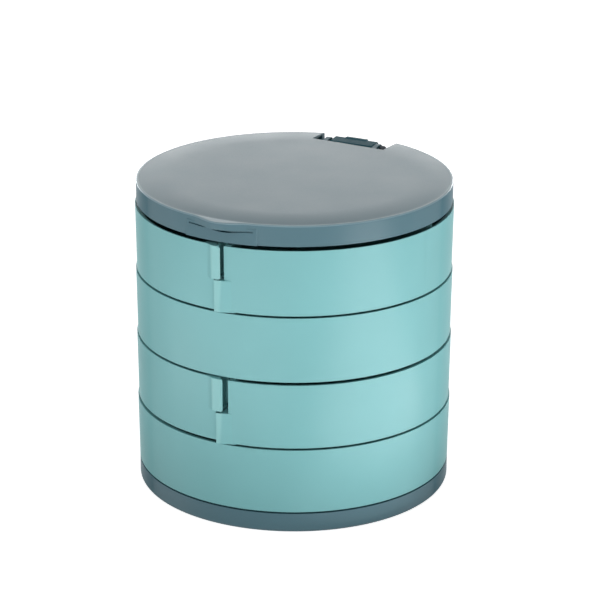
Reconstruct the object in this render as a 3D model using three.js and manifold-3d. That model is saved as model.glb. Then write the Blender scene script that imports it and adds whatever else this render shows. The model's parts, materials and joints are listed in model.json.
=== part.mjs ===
// A round four-tier makeup organizer box. Tiers two and four are fixed round trays. Tiers one and three are
// pairs of half trays that swing out on bolts at the back. The lid turns on a pin in the rear post's head.
// Millimetres, +Z up, the front faces -Y, and the origin is at the centre of the underside.
import * as THREE from "three";
import { mergeVertices } from "three/addons/utils/BufferGeometryUtils.js";
import Module from "manifold-3d";

const wasm = await Module();
wasm.setup();

// Round form
const outerRadius = 50;
const tierDraft = 0.3;
const baseInset = 0.3;
const lidInset = 0.4;
const wall = 1.7;
const floorThickness = 1.5;
const dividerThickness = 1.3;
const cornerRadius = 2.5;
const stepRadius = 0.6;

// Heights
const baseHeight = 6.3;
const baseSeam = 0.3;
const tierHeight = 20.9;
const seamGap = 0.35;
const leftWingLift = 0.3;
const lidGap = 0.95;
const lidHeight = 6.8;

// Clearances
const runningGap = 0.3;
const splitGap = 0.5;
const cutOverrun = 2;

// Pivots of the wings
const pivotBarrelRadius = 5.4;
const pivotBarrelInset = 0.45;
const postBarrelGap = 0.8;
const boltRadius = 1.5;
const boltHeadRadius = 2.8;
const boltHeadHeight = 1.9;
const boltHeadRecess = 0.9;
const capNutRadius = 3.2;
const capNutHeight = 2.8;
const capNutRoof = 0.7;
const capNutProud = 0.2;

// Rear post and hinge head
const postHalfWidth = 7.4;
const postFrontReach = 5.5;
const postInset = 0.35;
const postFootHalfWidth = 6.2;
const postFootInset = 1.2;
const postFootHeight = 2.6;
const postAboveWings = 0.6;
const headHalfWidth = 7.75;
const headFrontReach = 2.5;
const headRearReach = 2.2;
const headRise = 1.55;
const headRound = 0.9;
const headShoulderReach = 6.1;
const headShoulderDrop = 3.2;
const headShoulderRise = 2;
const headRibHalfWidth = 3.9;
const headRibRise = 0.25;
const headRibFront = 1.6;
const headRibRear = 3.2;
const hingeSetback = 0.4;
const hingeDrop = 1.1;

// Lid
const lidWall = 1.7;
const lidPlate = 1.8;
const lidEdgeRound = 0.7;
const lipReach = 2.35;
const lipHeight = 2.8;
const lipHalfAngle = THREE.MathUtils.degToRad(11.5);
const padReach = 0.55;
const padDrop = 2.1;
const padHalfAngle = THREE.MathUtils.degToRad(14.2);
const notchHalfWidth = 13.1;
const notchBevel = 1.3;
const skirtReliefHalfWidth = 24;
const notchRoom = 1.2;
const skirtReliefRise = 3.2;
const armThickness = 1.55;
const armRadius = 1.6;
const armRootReach = 7.3;
const armGap = 0.35;
const pinRadius = 0.75;
const pinHeadRadius = 1.25;
const pinHeadLength = 1.8;

// Mirror inside the lid
const mirrorBorder = 11.9;
const mirrorForward = 3;
const mirrorThickness = 1.5;
const mirrorPadThickness = 0.7;
const mirrorPadInset = 2;
const mirrorRimWall = 1.2;
const mirrorRimBelow = 0.4;

// Finger tabs at the front of the wings
const tabReach = 1.05;
const tabRamp = 2.9;
const tabSplitShare = 0.48;
const leftTabEdge = 0.9;
const rightTabEdge = 1.1;
const leftTabWidth = 2.9;
const rightTabWidth = 2.6;
const upperSlotWidth = 1.2;
const lowerSlotWidth = 1.6;
const slotDepth = 6.7;

// Compartments
const baseDividerY = 6;
const middleDividerY = 0;
const wingDividerY = -3;
const middleDividerDrop = 3;

// Base pan
const panFloor = 2;
const panWall = 1.8;
const panEdgeRound = 1.2;
const panRecess = 0.7;
const panHubRadius = 12;
const panRimWidth = 5.2;
const bossWall = 2;

// Screws
const screwRadius = 1.2;
const screwHeadRadius = 2.5;
const screwHeadHeight = 1.6;
const postScrewX = 3.4;
const postScrewReach = 11;
const baseScrewInset = 15.7;
const baseScrewReach = 3.7;
const baseBossDrop = 2.2;
const trayScrewX = 4.8;
const trayScrewReach = 7;
const trayScrewHeightShare = 0.62;

// Facets
const roundFaces = 88;
const mirrorFaces = 60;
const padFaces = 48;
const boreFaces = 16;
const barrelFaces = 20;
const cornerSteps = 5;
const edgeSteps = 3;
const rampSteps = 6;
const lipSteps = 16;

// Heights of each tier, from the base up
const baseTrayFoot = baseHeight + baseSeam;
const baseTrayTop = baseTrayFoot + tierHeight;
const lowerWingFoot = baseTrayTop + seamGap;
const lowerWingTop = lowerWingFoot + tierHeight;
const middleTrayFoot = lowerWingTop + leftWingLift + seamGap;
const middleTrayTop = middleTrayFoot + tierHeight;
const upperWingFoot = middleTrayTop + seamGap;
const upperWingTop = upperWingFoot + tierHeight;
const lidFoot = upperWingTop + lidGap;
const lidTop = lidFoot + lidHeight;
const lidUnder = lidTop - lidPlate;

// Places seen from above
const innerRadius = outerRadius - wall;
const baseRadius = outerRadius - baseInset;
const lidRadius = outerRadius - lidInset;
const halfSplit = splitGap / 2;
const pivotX = postHalfWidth + postBarrelGap + pivotBarrelRadius;
const pivotY = Math.sqrt((outerRadius - pivotBarrelInset - pivotBarrelRadius) ** 2 - pivotX ** 2);
const boltBore = boltRadius + runningGap;
const postFront = pivotY - postFrontReach;
const postNotchHalfWidth = postHalfWidth + runningGap;
const postNotchFront = postFront - runningGap;
const hingeY = pivotY + hingeSetback;
const hingeZ = lidTop - hingeDrop;
const notchFront = hingeY - headFrontReach - notchRoom;
const mirrorRadius = lidRadius - lidWall - mirrorBorder;

// A closed mesh, its shared vertices merged, as a solid that can be joined and cut.
function solid(geometry) {
  const bare = geometry.clone();
  bare.deleteAttribute("normal");
  bare.deleteAttribute("uv");
  const merged = mergeVertices(bare);
  return new wasm.Manifold(
    new wasm.Mesh({
      numProp: 3,
      vertProperties: new Float32Array(merged.attributes.position.array),
      triVerts: new Uint32Array(merged.index.array),
    }),
  );
}

function join(first, ...others) {
  return others.reduce((body, other) => body.add(other), first);
}

function cut(first, ...tools) {
  return tools.reduce((body, tool) => body.subtract(tool), first);
}

// An upright cone frustum or cylinder between two heights.
function upright(footRadius, topRadius, low, high, x = 0, y = 0, faces = roundFaces) {
  const geometry = new THREE.CylinderGeometry(topRadius, footRadius, high - low, faces);
  geometry.rotateX(Math.PI / 2);
  return solid(geometry.translate(x, y, (low + high) / 2));
}

function uprightRod(radius, low, high, x, y, faces = boreFaces) {
  return upright(radius, radius, low, high, x, y, faces);
}

// A rod along X, and one along Y.
function rodAlongX(radius, from, to, y, z, faces = boreFaces) {
  const geometry = new THREE.CylinderGeometry(radius, radius, to - from, faces);
  geometry.rotateZ(Math.PI / 2);
  return solid(geometry.translate((from + to) / 2, y, z));
}

function rodAlongY(radius, from, to, x, z, faces = boreFaces) {
  const geometry = new THREE.CylinderGeometry(radius, radius, to - from, faces);
  return solid(geometry.translate(x, (from + to) / 2, z));
}

function block(x0, x1, y0, y1, z0, z1) {
  const geometry = new THREE.BoxGeometry(x1 - x0, y1 - y0, z1 - z0);
  return solid(geometry.translate((x0 + x1) / 2, (y0 + y1) / 2, (z0 + z1) / 2));
}

// An outline seen from above, grown between two heights.
function prism(points, low, high) {
  const shape = new THREE.Shape(points);
  const geometry = new THREE.ExtrudeGeometry(shape, { depth: high - low, bevelEnabled: false });
  return solid(geometry.translate(0, 0, low));
}

// An outline in the YZ plane, grown along X.
function prismAlongX(points, from, to) {
  const shape = new THREE.Shape(points);
  const geometry = new THREE.ExtrudeGeometry(shape, { depth: to - from, bevelEnabled: false });
  geometry.rotateX(Math.PI / 2);
  geometry.rotateZ(Math.PI / 2);
  return solid(geometry.translate(from, 0, 0));
}

function at(x, y) {
  return new THREE.Vector2(x, y);
}

// A corner of an outline with a rounding of its own.
function cornerAt(x, y, ownRadius) {
  return Object.assign(at(x, y), { ownRadius });
}

// How far forward a circle about the centre lies at a given x.
function frontOf(radius, x) {
  return -Math.sqrt(radius ** 2 - x ** 2);
}

// The corner of an outline between two straight sides, rounded to a radius.
function roundedCorner(before, corner, after, radius) {
  const incoming = before.clone().sub(corner).normalize();
  const outgoing = after.clone().sub(corner).normalize();
  const halfAngle = Math.acos(THREE.MathUtils.clamp(incoming.dot(outgoing), -1, 1)) / 2;
  const middle = incoming.clone().add(outgoing).normalize();
  const centre = corner.clone().addScaledVector(middle, radius / Math.sin(halfAngle));
  const reach = radius / Math.tan(halfAngle);
  const start = corner.clone().addScaledVector(incoming, reach).sub(centre);
  const end = corner.clone().addScaledVector(outgoing, reach).sub(centre);
  const from = start.angle();
  const turn = Math.atan2(start.cross(end), start.dot(end));
  return Array.from({ length: cornerSteps + 1 }, (_, step) => {
    const angle = from + (turn * step) / cornerSteps;
    return at(centre.x + radius * Math.cos(angle), centre.y + radius * Math.sin(angle));
  });
}

// An outline with every corner rounded.
function rounded(corners) {
  return corners.flatMap((corner, index) => {
    const before = corners[(index + corners.length - 1) % corners.length];
    const after = corners[(index + 1) % corners.length];
    return roundedCorner(before, corner, after, corner.ownRadius ?? cornerRadius);
  });
}

function flippedX(points) {
  return points.map((point) => at(-point.x, point.y)).reverse();
}

function sided(side, points) {
  return side > 0 ? points : flippedX(points);
}

// The drafted outside of a tier: full size at its top edge, smaller at its foot.
function tierForm(radius, foot, top) {
  return upright(radius - tierDraft, radius, foot, top);
}

// One compartment: its outline seen from above, kept inside the round wall and off the pivot barrels.
function compartment(points, foot, top) {
  const low = foot + floorThickness;
  const high = top + cutOverrun;
  const inside = upright(innerRadius, innerRadius, low, high);
  const barrels = [-pivotX, pivotX].map((x) =>
    uprightRod(pivotBarrelRadius, low, high, x, pivotY, barrelFaces),
  );
  return cut(prism(points, low, high).intersect(inside), ...barrels);
}

// A finger tab on the front wall with its raised grip, flat for its width and then a ramp back to the wall.
function fingerTab(side, edge, width, low, high, foot, top) {
  const grip = outerRadius + tabReach;
  const flatEnd = width - edge;
  const rampEnd = flatEnd + tabRamp;
  const points = [at(-edge, frontOf(innerRadius, edge)), at(-edge, frontOf(grip, edge))];
  points.push(at(0, frontOf(grip, 0)));
  for (let step = 0; step <= rampSteps; step++) {
    const along = step / rampSteps;
    const x = THREE.MathUtils.lerp(flatEnd, rampEnd, along);
    const rise = tabReach * (1 - THREE.MathUtils.smoothstep(along, 0, 1));
    points.push(at(x, frontOf(outerRadius + rise, x)));
  }
  points.push(at(rampEnd, frontOf(innerRadius, rampEnd)), at(0, frontOf(innerRadius, 0)));
  const form = tierForm(grip, foot, top);
  return prism(sided(side, points), low, high).intersect(form);
}

// A wing: half a tray with a barrel at the back, a finger tab at the front and a pocket for the other's tab.
// side is 1 for the right wing and -1 for the left; tab and pocket are measured from the split plane.
function wing(side, foot, tab, pocket, cap) {
  const top = foot + tierHeight;
  const beyond = outerRadius + tabReach + cutOverrun;
  const rearWall = postNotchFront;
  const barrelSide = pivotX - pivotBarrelRadius;
  const behindBarrel = at(pivotX, pivotY).setLength(beyond);
  const plan = [
    at(halfSplit, -beyond),
    at(beyond, -beyond),
    at(beyond, behindBarrel.y),
    behindBarrel,
    at(pivotX, pivotY),
    at(barrelSide, pivotY),
    at(barrelSide, rearWall),
    at(halfSplit, rearWall),
  ];
  const inner = halfSplit + wall;
  const pocketSide = pocket.width + wall;
  const pocketBack = -outerRadius + pocket.depth + wall;
  const front = wingDividerY - dividerThickness / 2;
  const rear = wingDividerY + dividerThickness / 2;
  const frontRoom = [
    at(pocketSide, -beyond),
    at(beyond, -beyond),
    at(beyond, front),
    at(inner, front),
    cornerAt(inner, pocketBack, stepRadius),
    cornerAt(pocketSide, pocketBack, stepRadius),
  ];
  const backRoom = [
    at(inner, rear),
    at(beyond, rear),
    at(beyond, beyond),
    at(barrelSide + wall, beyond),
    at(barrelSide + wall, rearWall - wall),
    at(inner, rearWall - wall),
  ];
  const bore = uprightRod(boltBore, foot - cutOverrun, top + cutOverrun, side * pivotX, pivotY);
  const span = [side * (halfSplit - cutOverrun), side * pocket.width].sort((a, b) => a - b);
  const pocketFront = -beyond;
  const pocketCut = block(...span, pocketFront, -outerRadius + pocket.depth, pocket.low, pocket.high);
  const plain = tierForm(outerRadius, foot, top).intersect(prism(sided(side, plan), foot, top));
  const barrel = uprightRod(pivotBarrelRadius, foot, top, side * pivotX, pivotY, barrelFaces);
  const finger = fingerTab(side, tab.edge, tab.width, tab.low, tab.high, foot, top);
  const seat = uprightRod(
    capNutRadius + runningGap,
    top + capNutProud - capNutHeight - runningGap,
    top + cutOverrun,
    side * pivotX,
    pivotY,
    barrelFaces,
  );
  const body = cut(
    join(cut(join(plain, barrel), pocketCut), finger),
    compartment(sided(side, rounded(frontRoom)), foot, top),
    compartment(sided(side, rounded(backRoom)), foot, top),
    bore,
  );
  return cap ? cut(body, seat) : body;
}

// Where the two wings of a tier meet: the left tab above, the right tab below.
function wingPair(leftFoot, rightFoot, slotWidth, cap) {
  const split = rightFoot + tierHeight * tabSplitShare;
  const leftSplit = leftFoot + tierHeight * tabSplitShare + runningGap;
  const leftTop = leftFoot + tierHeight;
  const rightTop = rightFoot + tierHeight;
  const leftTab = { edge: leftTabEdge, width: leftTabWidth, low: leftSplit, high: leftTop };
  const rightTab = { edge: rightTabEdge, width: rightTabWidth, low: rightFoot, high: split };
  const leftPocket = {
    width: rightTabEdge + runningGap,
    depth: wall + runningGap,
    low: leftFoot - cutOverrun,
    high: leftSplit,
  };
  const rightPocket = {
    width: leftTabEdge + slotWidth,
    depth: slotDepth,
    low: split,
    high: rightTop + cutOverrun,
  };
  return {
    left: wing(-1, leftFoot, leftTab, leftPocket, cap),
    right: wing(1, rightFoot, rightTab, rightPocket, cap),
  };
}

// A fixed round tray with its rear notch for the post and two bolt barrels. The rooms are its compartments.
function roundTray(foot, top, rooms) {
  const barrels = [-pivotX, pivotX].map((x) =>
    uprightRod(pivotBarrelRadius, foot, top, x, pivotY, barrelFaces),
  );
  const bores = [-pivotX, pivotX].map((x) =>
    uprightRod(boltBore, foot - cutOverrun, top + cutOverrun, x, pivotY),
  );
  const notch = block(
    -postNotchHalfWidth,
    postNotchHalfWidth,
    postNotchFront,
    outerRadius + cutOverrun,
    foot - cutOverrun,
    top + cutOverrun,
  );
  const hollows = rooms.map((room) => compartment(room, foot, top));
  const whole = join(tierForm(outerRadius, foot, top), ...barrels);
  return cut(whole, ...hollows, notch, ...bores);
}

// The outline of a rear room on one side of the post, from a divider back to the post's housing.
function rearRoom(side, inner, divider) {
  const beyond = outerRadius + cutOverrun;
  const housing = postNotchHalfWidth + wall;
  const corners = [
    at(inner, divider),
    at(beyond, divider),
    at(beyond, beyond),
    at(housing, beyond),
    at(housing, postNotchFront - wall),
    at(inner, postNotchFront - wall),
  ];
  return sided(side, rounded(corners));
}

function frontQuarter(side, divider) {
  const beyond = outerRadius + cutOverrun;
  const inner = dividerThickness / 2;
  const corners = [at(inner, -beyond), at(beyond, -beyond), at(beyond, divider), at(inner, divider)];
  return sided(side, rounded(corners));
}

const baseScrewPlaces = [-1, 0, 1].map((turn) => {
  const angle = -Math.PI / 2 + (turn * Math.PI) / 3;
  const reach = baseRadius - baseScrewInset;
  return at(reach * Math.cos(angle), reach * Math.sin(angle));
});

// Tier four: two front compartments and one across the back, and bosses under its floor for the base screws.
function makeBaseTray() {
  const frontDivider = baseDividerY - dividerThickness / 2;
  const rearDivider = baseDividerY + dividerThickness / 2;
  const beyond = outerRadius + cutOverrun;
  const housing = postNotchHalfWidth + wall;
  const rear = rounded([
    at(-beyond, rearDivider),
    at(beyond, rearDivider),
    at(beyond, beyond),
    at(housing, beyond),
    at(housing, postNotchFront - wall),
    at(-housing, postNotchFront - wall),
    at(-housing, beyond),
    at(-beyond, beyond),
  ]);
  const rooms = [frontQuarter(-1, frontDivider), frontQuarter(1, frontDivider), rear];
  const bosses = baseScrewPlaces.map((place) =>
    uprightRod(
      screwRadius + runningGap + bossWall,
      baseTrayFoot - baseBossDrop,
      baseTrayFoot + floorThickness / 2,
      place.x,
      place.y,
      barrelFaces,
    ),
  );
  const pilots = baseScrewPlaces.map((place) =>
    uprightRod(
      screwRadius + runningGap,
      baseTrayFoot - baseBossDrop - cutOverrun,
      screwTop(baseScrewReach) + runningGap,
      place.x,
      place.y,
    ),
  );
  return cut(join(roundTray(baseTrayFoot, baseTrayTop, rooms), ...bosses), ...pilots);
}

// Tier two: a lower cross of dividers, and two holes in the post's housing for the screws into the post.
function makeMiddleTray() {
  const half = dividerThickness / 2;
  const frontDivider = middleDividerY - half;
  const rearDivider = middleDividerY + half;
  const rooms = [-1, 1].flatMap((side) => [
    frontQuarter(side, frontDivider),
    rearRoom(side, half, rearDivider),
  ]);
  const holes = [-trayScrewX, trayScrewX].map((x) =>
    rodAlongY(screwRadius + runningGap, postNotchFront - wall - cutOverrun, postFront, x, trayScrewZ),
  );
  const dividerTop = block(
    -innerRadius,
    innerRadius,
    -innerRadius,
    postNotchFront - wall,
    middleTrayTop - middleDividerDrop,
    middleTrayTop + cutOverrun,
  ).intersect(
    upright(innerRadius, innerRadius, middleTrayFoot, middleTrayTop + cutOverrun),
  );
  return cut(roundTray(middleTrayFoot, middleTrayTop, rooms), dividerTop, ...holes);
}

const trayScrewZ = THREE.MathUtils.lerp(middleTrayFoot, middleTrayTop, trayScrewHeightShare);

function screwTop(reach) {
  return boltHeadRecess + screwHeadHeight + reach;
}

// The rear post: a foot in the base pan, the body between the barrels and the hinge head in the lid's notch.
function makeHingePost() {
  const rear = outerRadius - postInset;
  const bodyFoot = baseHeight + baseSeam;
  const bodyTop = upperWingTop + postAboveWings;
  const body = block(-postHalfWidth, postHalfWidth, postFront, rear, bodyFoot, bodyTop).intersect(
    upright(rear, rear, bodyFoot, bodyTop),
  );
  const foot = block(
    -postFootHalfWidth,
    postFootHalfWidth,
    postFront + postFootInset,
    footRear,
    footUnder,
    bodyFoot + postFootHeight,
  );
  const front = hingeY - headFrontReach;
  const back = hingeY + headRearReach;
  const top = hingeZ + headRise;
  const shoulder = hingeZ - headShoulderDrop;
  const side = [
    at(front, bodyTop - postAboveWings),
    at(hingeY + headShoulderReach, bodyTop - postAboveWings),
    at(hingeY + headShoulderReach, shoulder),
    at(back, shoulder + headShoulderRise),
    ...roundedCorner(at(back, bodyTop), at(back, top), at(front, top), headRound),
    ...roundedCorner(at(back, top), at(front, top), at(front, bodyTop), headRound),
  ];
  const ribTop = top + headRibRise;
  const ribFront = hingeY + headRibFront;
  const ribRear = hingeY + headRibRear;
  const rib = [
    at(ribFront, top - headRise),
    at(back, top - headRise - headRound),
    at(ribRear, top - headRound - headRound),
    ...roundedCorner(at(ribRear, top - headRise), at(ribRear, ribTop), at(ribFront, ribTop), headRibRise),
    at(ribFront, ribTop),
  ];
  const head = join(
    prismAlongX(side, -headHalfWidth, headHalfWidth),
    prismAlongX(rib, -headRibHalfWidth, headRibHalfWidth),
  );
  const pinBore = rodAlongX(
    pinRadius + runningGap,
    -headHalfWidth - cutOverrun,
    headHalfWidth + cutOverrun,
    hingeY,
    hingeZ,
  );
  const footPilots = [-postScrewX, postScrewX].map((x) =>
    uprightRod(
      screwRadius + runningGap,
      footUnder - cutOverrun,
      screwTop(postScrewReach) + runningGap,
      x,
      pivotY,
    ),
  );
  const trayPilots = [-trayScrewX, trayScrewX].map((x) =>
    rodAlongY(
      screwRadius + runningGap,
      postFront - cutOverrun,
      trayScrewTip + runningGap,
      x,
      trayScrewZ,
    ),
  );
  return cut(join(body, foot, head), pinBore, ...footPilots, ...trayPilots);
}

const footUnder = baseHeight + baseSeam - postFootHeight;
const footRear = baseRadius - panWall - runningGap - postFootInset;
const trayScrewHead = postNotchFront - wall - runningGap;
const trayScrewTip = trayScrewHead + trayScrewReach + wall;

// The base pan: a shallow dish with a standing rim and hub and wells for the screws and bolts.
function makeBasePan() {
  const round = Array.from({ length: edgeSteps + 1 }, (_, step) => {
    const angle = (step / edgeSteps) * (Math.PI / 2);
    const inset = panEdgeRound * (1 - Math.sin(angle));
    return at(baseRadius - inset, panEdgeRound * (1 - Math.cos(angle)));
  });
  const profile = [
    at(0, 0),
    at(panHubRadius, 0),
    at(panHubRadius + panRecess, panRecess),
    at(baseRadius - panRimWidth - panRecess, panRecess),
    at(baseRadius - panRimWidth, 0),
    ...round,
    at(baseRadius, baseHeight),
    at(baseRadius - panWall, baseHeight),
    at(baseRadius - panWall, panFloor),
    at(0, panFloor),
  ];
  const dish = new THREE.LatheGeometry(profile, roundFaces).rotateX(Math.PI / 2);
  const wellTop = boltHeadRecess + boltHeadHeight + runningGap;
  const bolts = [-pivotX, pivotX].map((x) => at(x, pivotY));
  const postScrews = [-postScrewX, postScrewX].map((x) => at(x, pivotY));
  const bossTop = baseTrayFoot - baseBossDrop - runningGap;
  const boltBosses = bolts.map((place) =>
    uprightRod(boltHeadRadius + bossWall, panRecess, baseHeight, place.x, place.y, barrelFaces),
  );
  const screwBosses = baseScrewPlaces.map((place) =>
    uprightRod(screwHeadRadius + bossWall, panRecess, bossTop, place.x, place.y, barrelFaces),
  );
  const postPad = block(
    -postFootHalfWidth,
    postFootHalfWidth,
    postFront + postFootInset,
    footRear,
    panRecess,
    footUnder - runningGap,
  );
  const wells = [
    ...bolts.map((place) =>
      uprightRod(boltHeadRadius + runningGap, -cutOverrun, wellTop, place.x, place.y, barrelFaces),
    ),
    ...[...postScrews, ...baseScrewPlaces].map((place) =>
      uprightRod(
        screwHeadRadius + runningGap,
        -cutOverrun,
        screwTop(0) + runningGap,
        place.x,
        place.y,
        barrelFaces,
      ),
    ),
  ];
  const holes = [
    ...bolts.map((place) =>
      uprightRod(boltBore, -cutOverrun, baseHeight + cutOverrun, place.x, place.y),
    ),
    ...[...postScrews, ...baseScrewPlaces].map((place) =>
      uprightRod(screwRadius + runningGap, -cutOverrun, baseHeight + cutOverrun, place.x, place.y),
    ),
  ];
  const footRoom = block(
    -postFootHalfWidth - runningGap,
    postFootHalfWidth + runningGap,
    postFront + postFootInset - runningGap,
    footRear + runningGap,
    footUnder - runningGap,
    baseHeight + cutOverrun,
  );
  const trayBossRoom = baseScrewPlaces.map((place) =>
    uprightRod(
      screwRadius + bossWall + runningGap + runningGap,
      bossTop,
      baseHeight + cutOverrun,
      place.x,
      place.y,
      barrelFaces,
    ),
  );
  const body = join(solid(dish), ...boltBosses, ...screwBosses, postPad);
  return cut(body, footRoom, ...trayBossRoom, ...wells, ...holes);
}

// One outline of the lid at a given inset and height, with the pull lip as a raised cosine at the front.
function lidOutline(inset, z) {
  const quarterSteps = roundFaces - lipSteps;
  const lipAngles = Array.from({ length: lipSteps }, (_, step) =>
    THREE.MathUtils.lerp(-lipHalfAngle, lipHalfAngle, step / lipSteps),
  );
  const restAngles = Array.from({ length: quarterSteps }, (_, step) =>
    THREE.MathUtils.lerp(lipHalfAngle, 2 * Math.PI - lipHalfAngle, step / quarterSteps),
  );
  return [...lipAngles, ...restAngles].map((angle) => {
    const onLip = Math.abs(angle) < lipHalfAngle;
    const reach = onLip ? (lipReach * (1 + Math.cos((Math.PI * angle) / lipHalfAngle))) / 2 : 0;
    const radius = lidRadius + reach - inset;
    return [radius * Math.sin(angle), -radius * Math.cos(angle), z];
  });
}

// A closed body from a stack of outlines of equal length, from the lowest to the highest.
function stacked(outlines) {
  const count = outlines[0].length;
  const positions = outlines.flat(2);
  const centres = [outlines[0], outlines[outlines.length - 1]].map((outline) => outline[0][2]);
  positions.push(0, 0, centres[0], 0, 0, centres[1]);
  const footCentre = outlines.length * count;
  const topCentre = footCentre + 1;
  const faces = [];
  for (let point = 0; point < count; point++) {
    const next = (point + 1) % count;
    faces.push(footCentre, next, point);
    for (let layer = 0; layer + 1 < outlines.length; layer++) {
      const low = layer * count;
      const high = low + count;
      faces.push(low + point, low + next, high + next);
      faces.push(low + point, high + next, high + point);
    }
    const top = (outlines.length - 1) * count;
    faces.push(topCentre, top + point, top + next);
  }
  const geometry = new THREE.BufferGeometry();
  geometry.setAttribute("position", new THREE.Float32BufferAttribute(positions, 3));
  geometry.setIndex(faces);
  return solid(geometry);
}

// A ring sector seen from above, centred on the front.
function frontSector(innerR, outerR, halfAngle, low, high) {
  const arc = (radius, from, to) =>
    Array.from({ length: lipSteps + 1 }, (_, step) => {
      const angle = THREE.MathUtils.lerp(from, to, step / lipSteps);
      return at(radius * Math.sin(angle), -radius * Math.cos(angle));
    });
  return prism([...arc(outerR, -halfAngle, halfAngle), ...arc(innerR, halfAngle, -halfAngle)], low, high);
}

// The lid: a plate with a rounded edge and pull lip, a skirt, a rear notch with two arms, and a mirror rim.
function makeLidShell() {
  const lipFoot = lidTop - lipHeight;
  const edge = Array.from({ length: edgeSteps + 1 }, (_, step) => {
    const angle = (step / edgeSteps) * (Math.PI / 2);
    const inset = lidEdgeRound * (1 - Math.cos(angle));
    return lidOutline(inset, lidTop - lidEdgeRound + lidEdgeRound * Math.sin(angle));
  });
  const plate = stacked([lidOutline(0, lipFoot), ...edge]);
  const skirt = upright(lidRadius, lidRadius, lidFoot, lipFoot + lidEdgeRound);
  const padTop = lidTop - padDrop;
  const pad = frontSector(lidRadius - lidWall / 2, lidRadius + padReach, padHalfAngle, lidFoot, padTop);
  const hollowRadius = lidRadius - lidWall;
  const hollow = upright(hollowRadius, hollowRadius, lidFoot - cutOverrun, lidUnder);
  const rimInner = mirrorRadius + runningGap;
  const rimOuter = rimInner + mirrorRimWall;
  const rimLow = mirrorFoot - mirrorRimBelow;
  const rim = cut(
    uprightRod(rimOuter, rimLow, lidUnder + lidPlate / 2, 0, -mirrorForward, mirrorFaces),
    uprightRod(rimInner, rimLow - cutOverrun, lidUnder, 0, -mirrorForward, mirrorFaces),
  );
  const beyond = outerRadius + cutOverrun;
  const notchUnder = notchFront - notchBevel;
  const notch = prismAlongX(
    [
      at(notchUnder, lidFoot - cutOverrun),
      at(beyond, lidFoot - cutOverrun),
      at(beyond, lidTop + cutOverrun),
      at(notchFront, lidTop + cutOverrun),
      at(notchFront, lidTop),
      at(notchUnder, lidUnder),
    ],
    -notchHalfWidth,
    notchHalfWidth,
  );
  const relief = block(
    -skirtReliefHalfWidth,
    skirtReliefHalfWidth,
    hingeY - armRootReach,
    beyond,
    lidFoot - cutOverrun,
    lidFoot + skirtReliefRise,
  );
  const armOutline = [];
  for (let step = 0; step <= cornerSteps * 2; step++) {
    const angle = THREE.MathUtils.lerp((-5 * Math.PI) / 8, Math.PI / 2, step / (cornerSteps * 2));
    armOutline.push(at(hingeY + armRadius * Math.cos(angle), hingeZ + armRadius * Math.sin(angle)));
  }
  armOutline.push(
    at(notchFront - runningGap, lidTop - lidPlate / 4),
    at(hingeY - armRootReach, lidTop - lidPlate / 2),
    at(hingeY - armRootReach, lidUnder - lidPlate / 2),
  );
  const armInner = headHalfWidth + armGap;
  const armOuter = armInner + armThickness;
  const arms = [
    prismAlongX(armOutline, -armOuter, -armInner),
    prismAlongX(armOutline, armInner, armOuter),
  ];
  const bore = rodAlongX(
    pinRadius + runningGap,
    -armOuter - cutOverrun,
    armOuter + cutOverrun,
    hingeY,
    hingeZ,
  );
  const shell = cut(join(cut(join(plate, skirt, pad), hollow), rim), notch, relief);
  return cut(join(shell, ...arms), bore);
}

const mirrorPadTop = lidUnder - runningGap;
const mirrorTop = mirrorPadTop - mirrorPadThickness - runningGap;
const mirrorFoot = mirrorTop - mirrorThickness;

function makeMirrorPad() {
  const radius = mirrorRadius - mirrorPadInset;
  const foot = mirrorPadTop - mirrorPadThickness;
  return uprightRod(radius, foot, mirrorPadTop, 0, -mirrorForward, padFaces);
}

function makeMirror() {
  return uprightRod(mirrorRadius, mirrorFoot, mirrorTop, 0, -mirrorForward, mirrorFaces);
}

function makeHingePin() {
  const armOuter = headHalfWidth + armGap + armThickness;
  const headFrom = armOuter + runningGap;
  return join(
    rodAlongX(pinRadius, -armOuter, headFrom + pinHeadLength / 2, hingeY, hingeZ),
    rodAlongX(pinHeadRadius, headFrom, headFrom + pinHeadLength, hingeY, hingeZ, barrelFaces),
  );
}

// The wings turn on these: a bolt up through every tier, with its head in a well under the base pan.
function makeBolt(x) {
  const headTop = boltHeadRecess + boltHeadHeight;
  const tip = upperWingTop + capNutProud - capNutRoof - runningGap;
  return join(
    uprightRod(boltHeadRadius, boltHeadRecess, headTop, x, pivotY, barrelFaces),
    uprightRod(boltRadius, headTop - boltHeadHeight / 2, tip, x, pivotY),
  );
}

function makeCapNut(x) {
  const top = upperWingTop + capNutProud;
  const foot = top - capNutHeight;
  return cut(
    uprightRod(capNutRadius, foot, top, x, pivotY, barrelFaces),
    uprightRod(boltBore, foot - cutOverrun, top - capNutRoof, x, pivotY),
  );
}

function makeUprightScrew(place, reach) {
  const headTop = boltHeadRecess + screwHeadHeight;
  return join(
    uprightRod(screwHeadRadius, boltHeadRecess, headTop, place.x, place.y, barrelFaces),
    uprightRod(screwRadius, boltHeadRecess + screwHeadHeight / 2, screwTop(reach), place.x, place.y),
  );
}

function makeTrayScrew(x) {
  return join(
    rodAlongY(screwHeadRadius, trayScrewHead - screwHeadHeight, trayScrewHead, x, trayScrewZ, barrelFaces),
    rodAlongY(screwRadius, trayScrewHead - screwHeadHeight / 2, trayScrewTip, x, trayScrewZ),
  );
}

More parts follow.
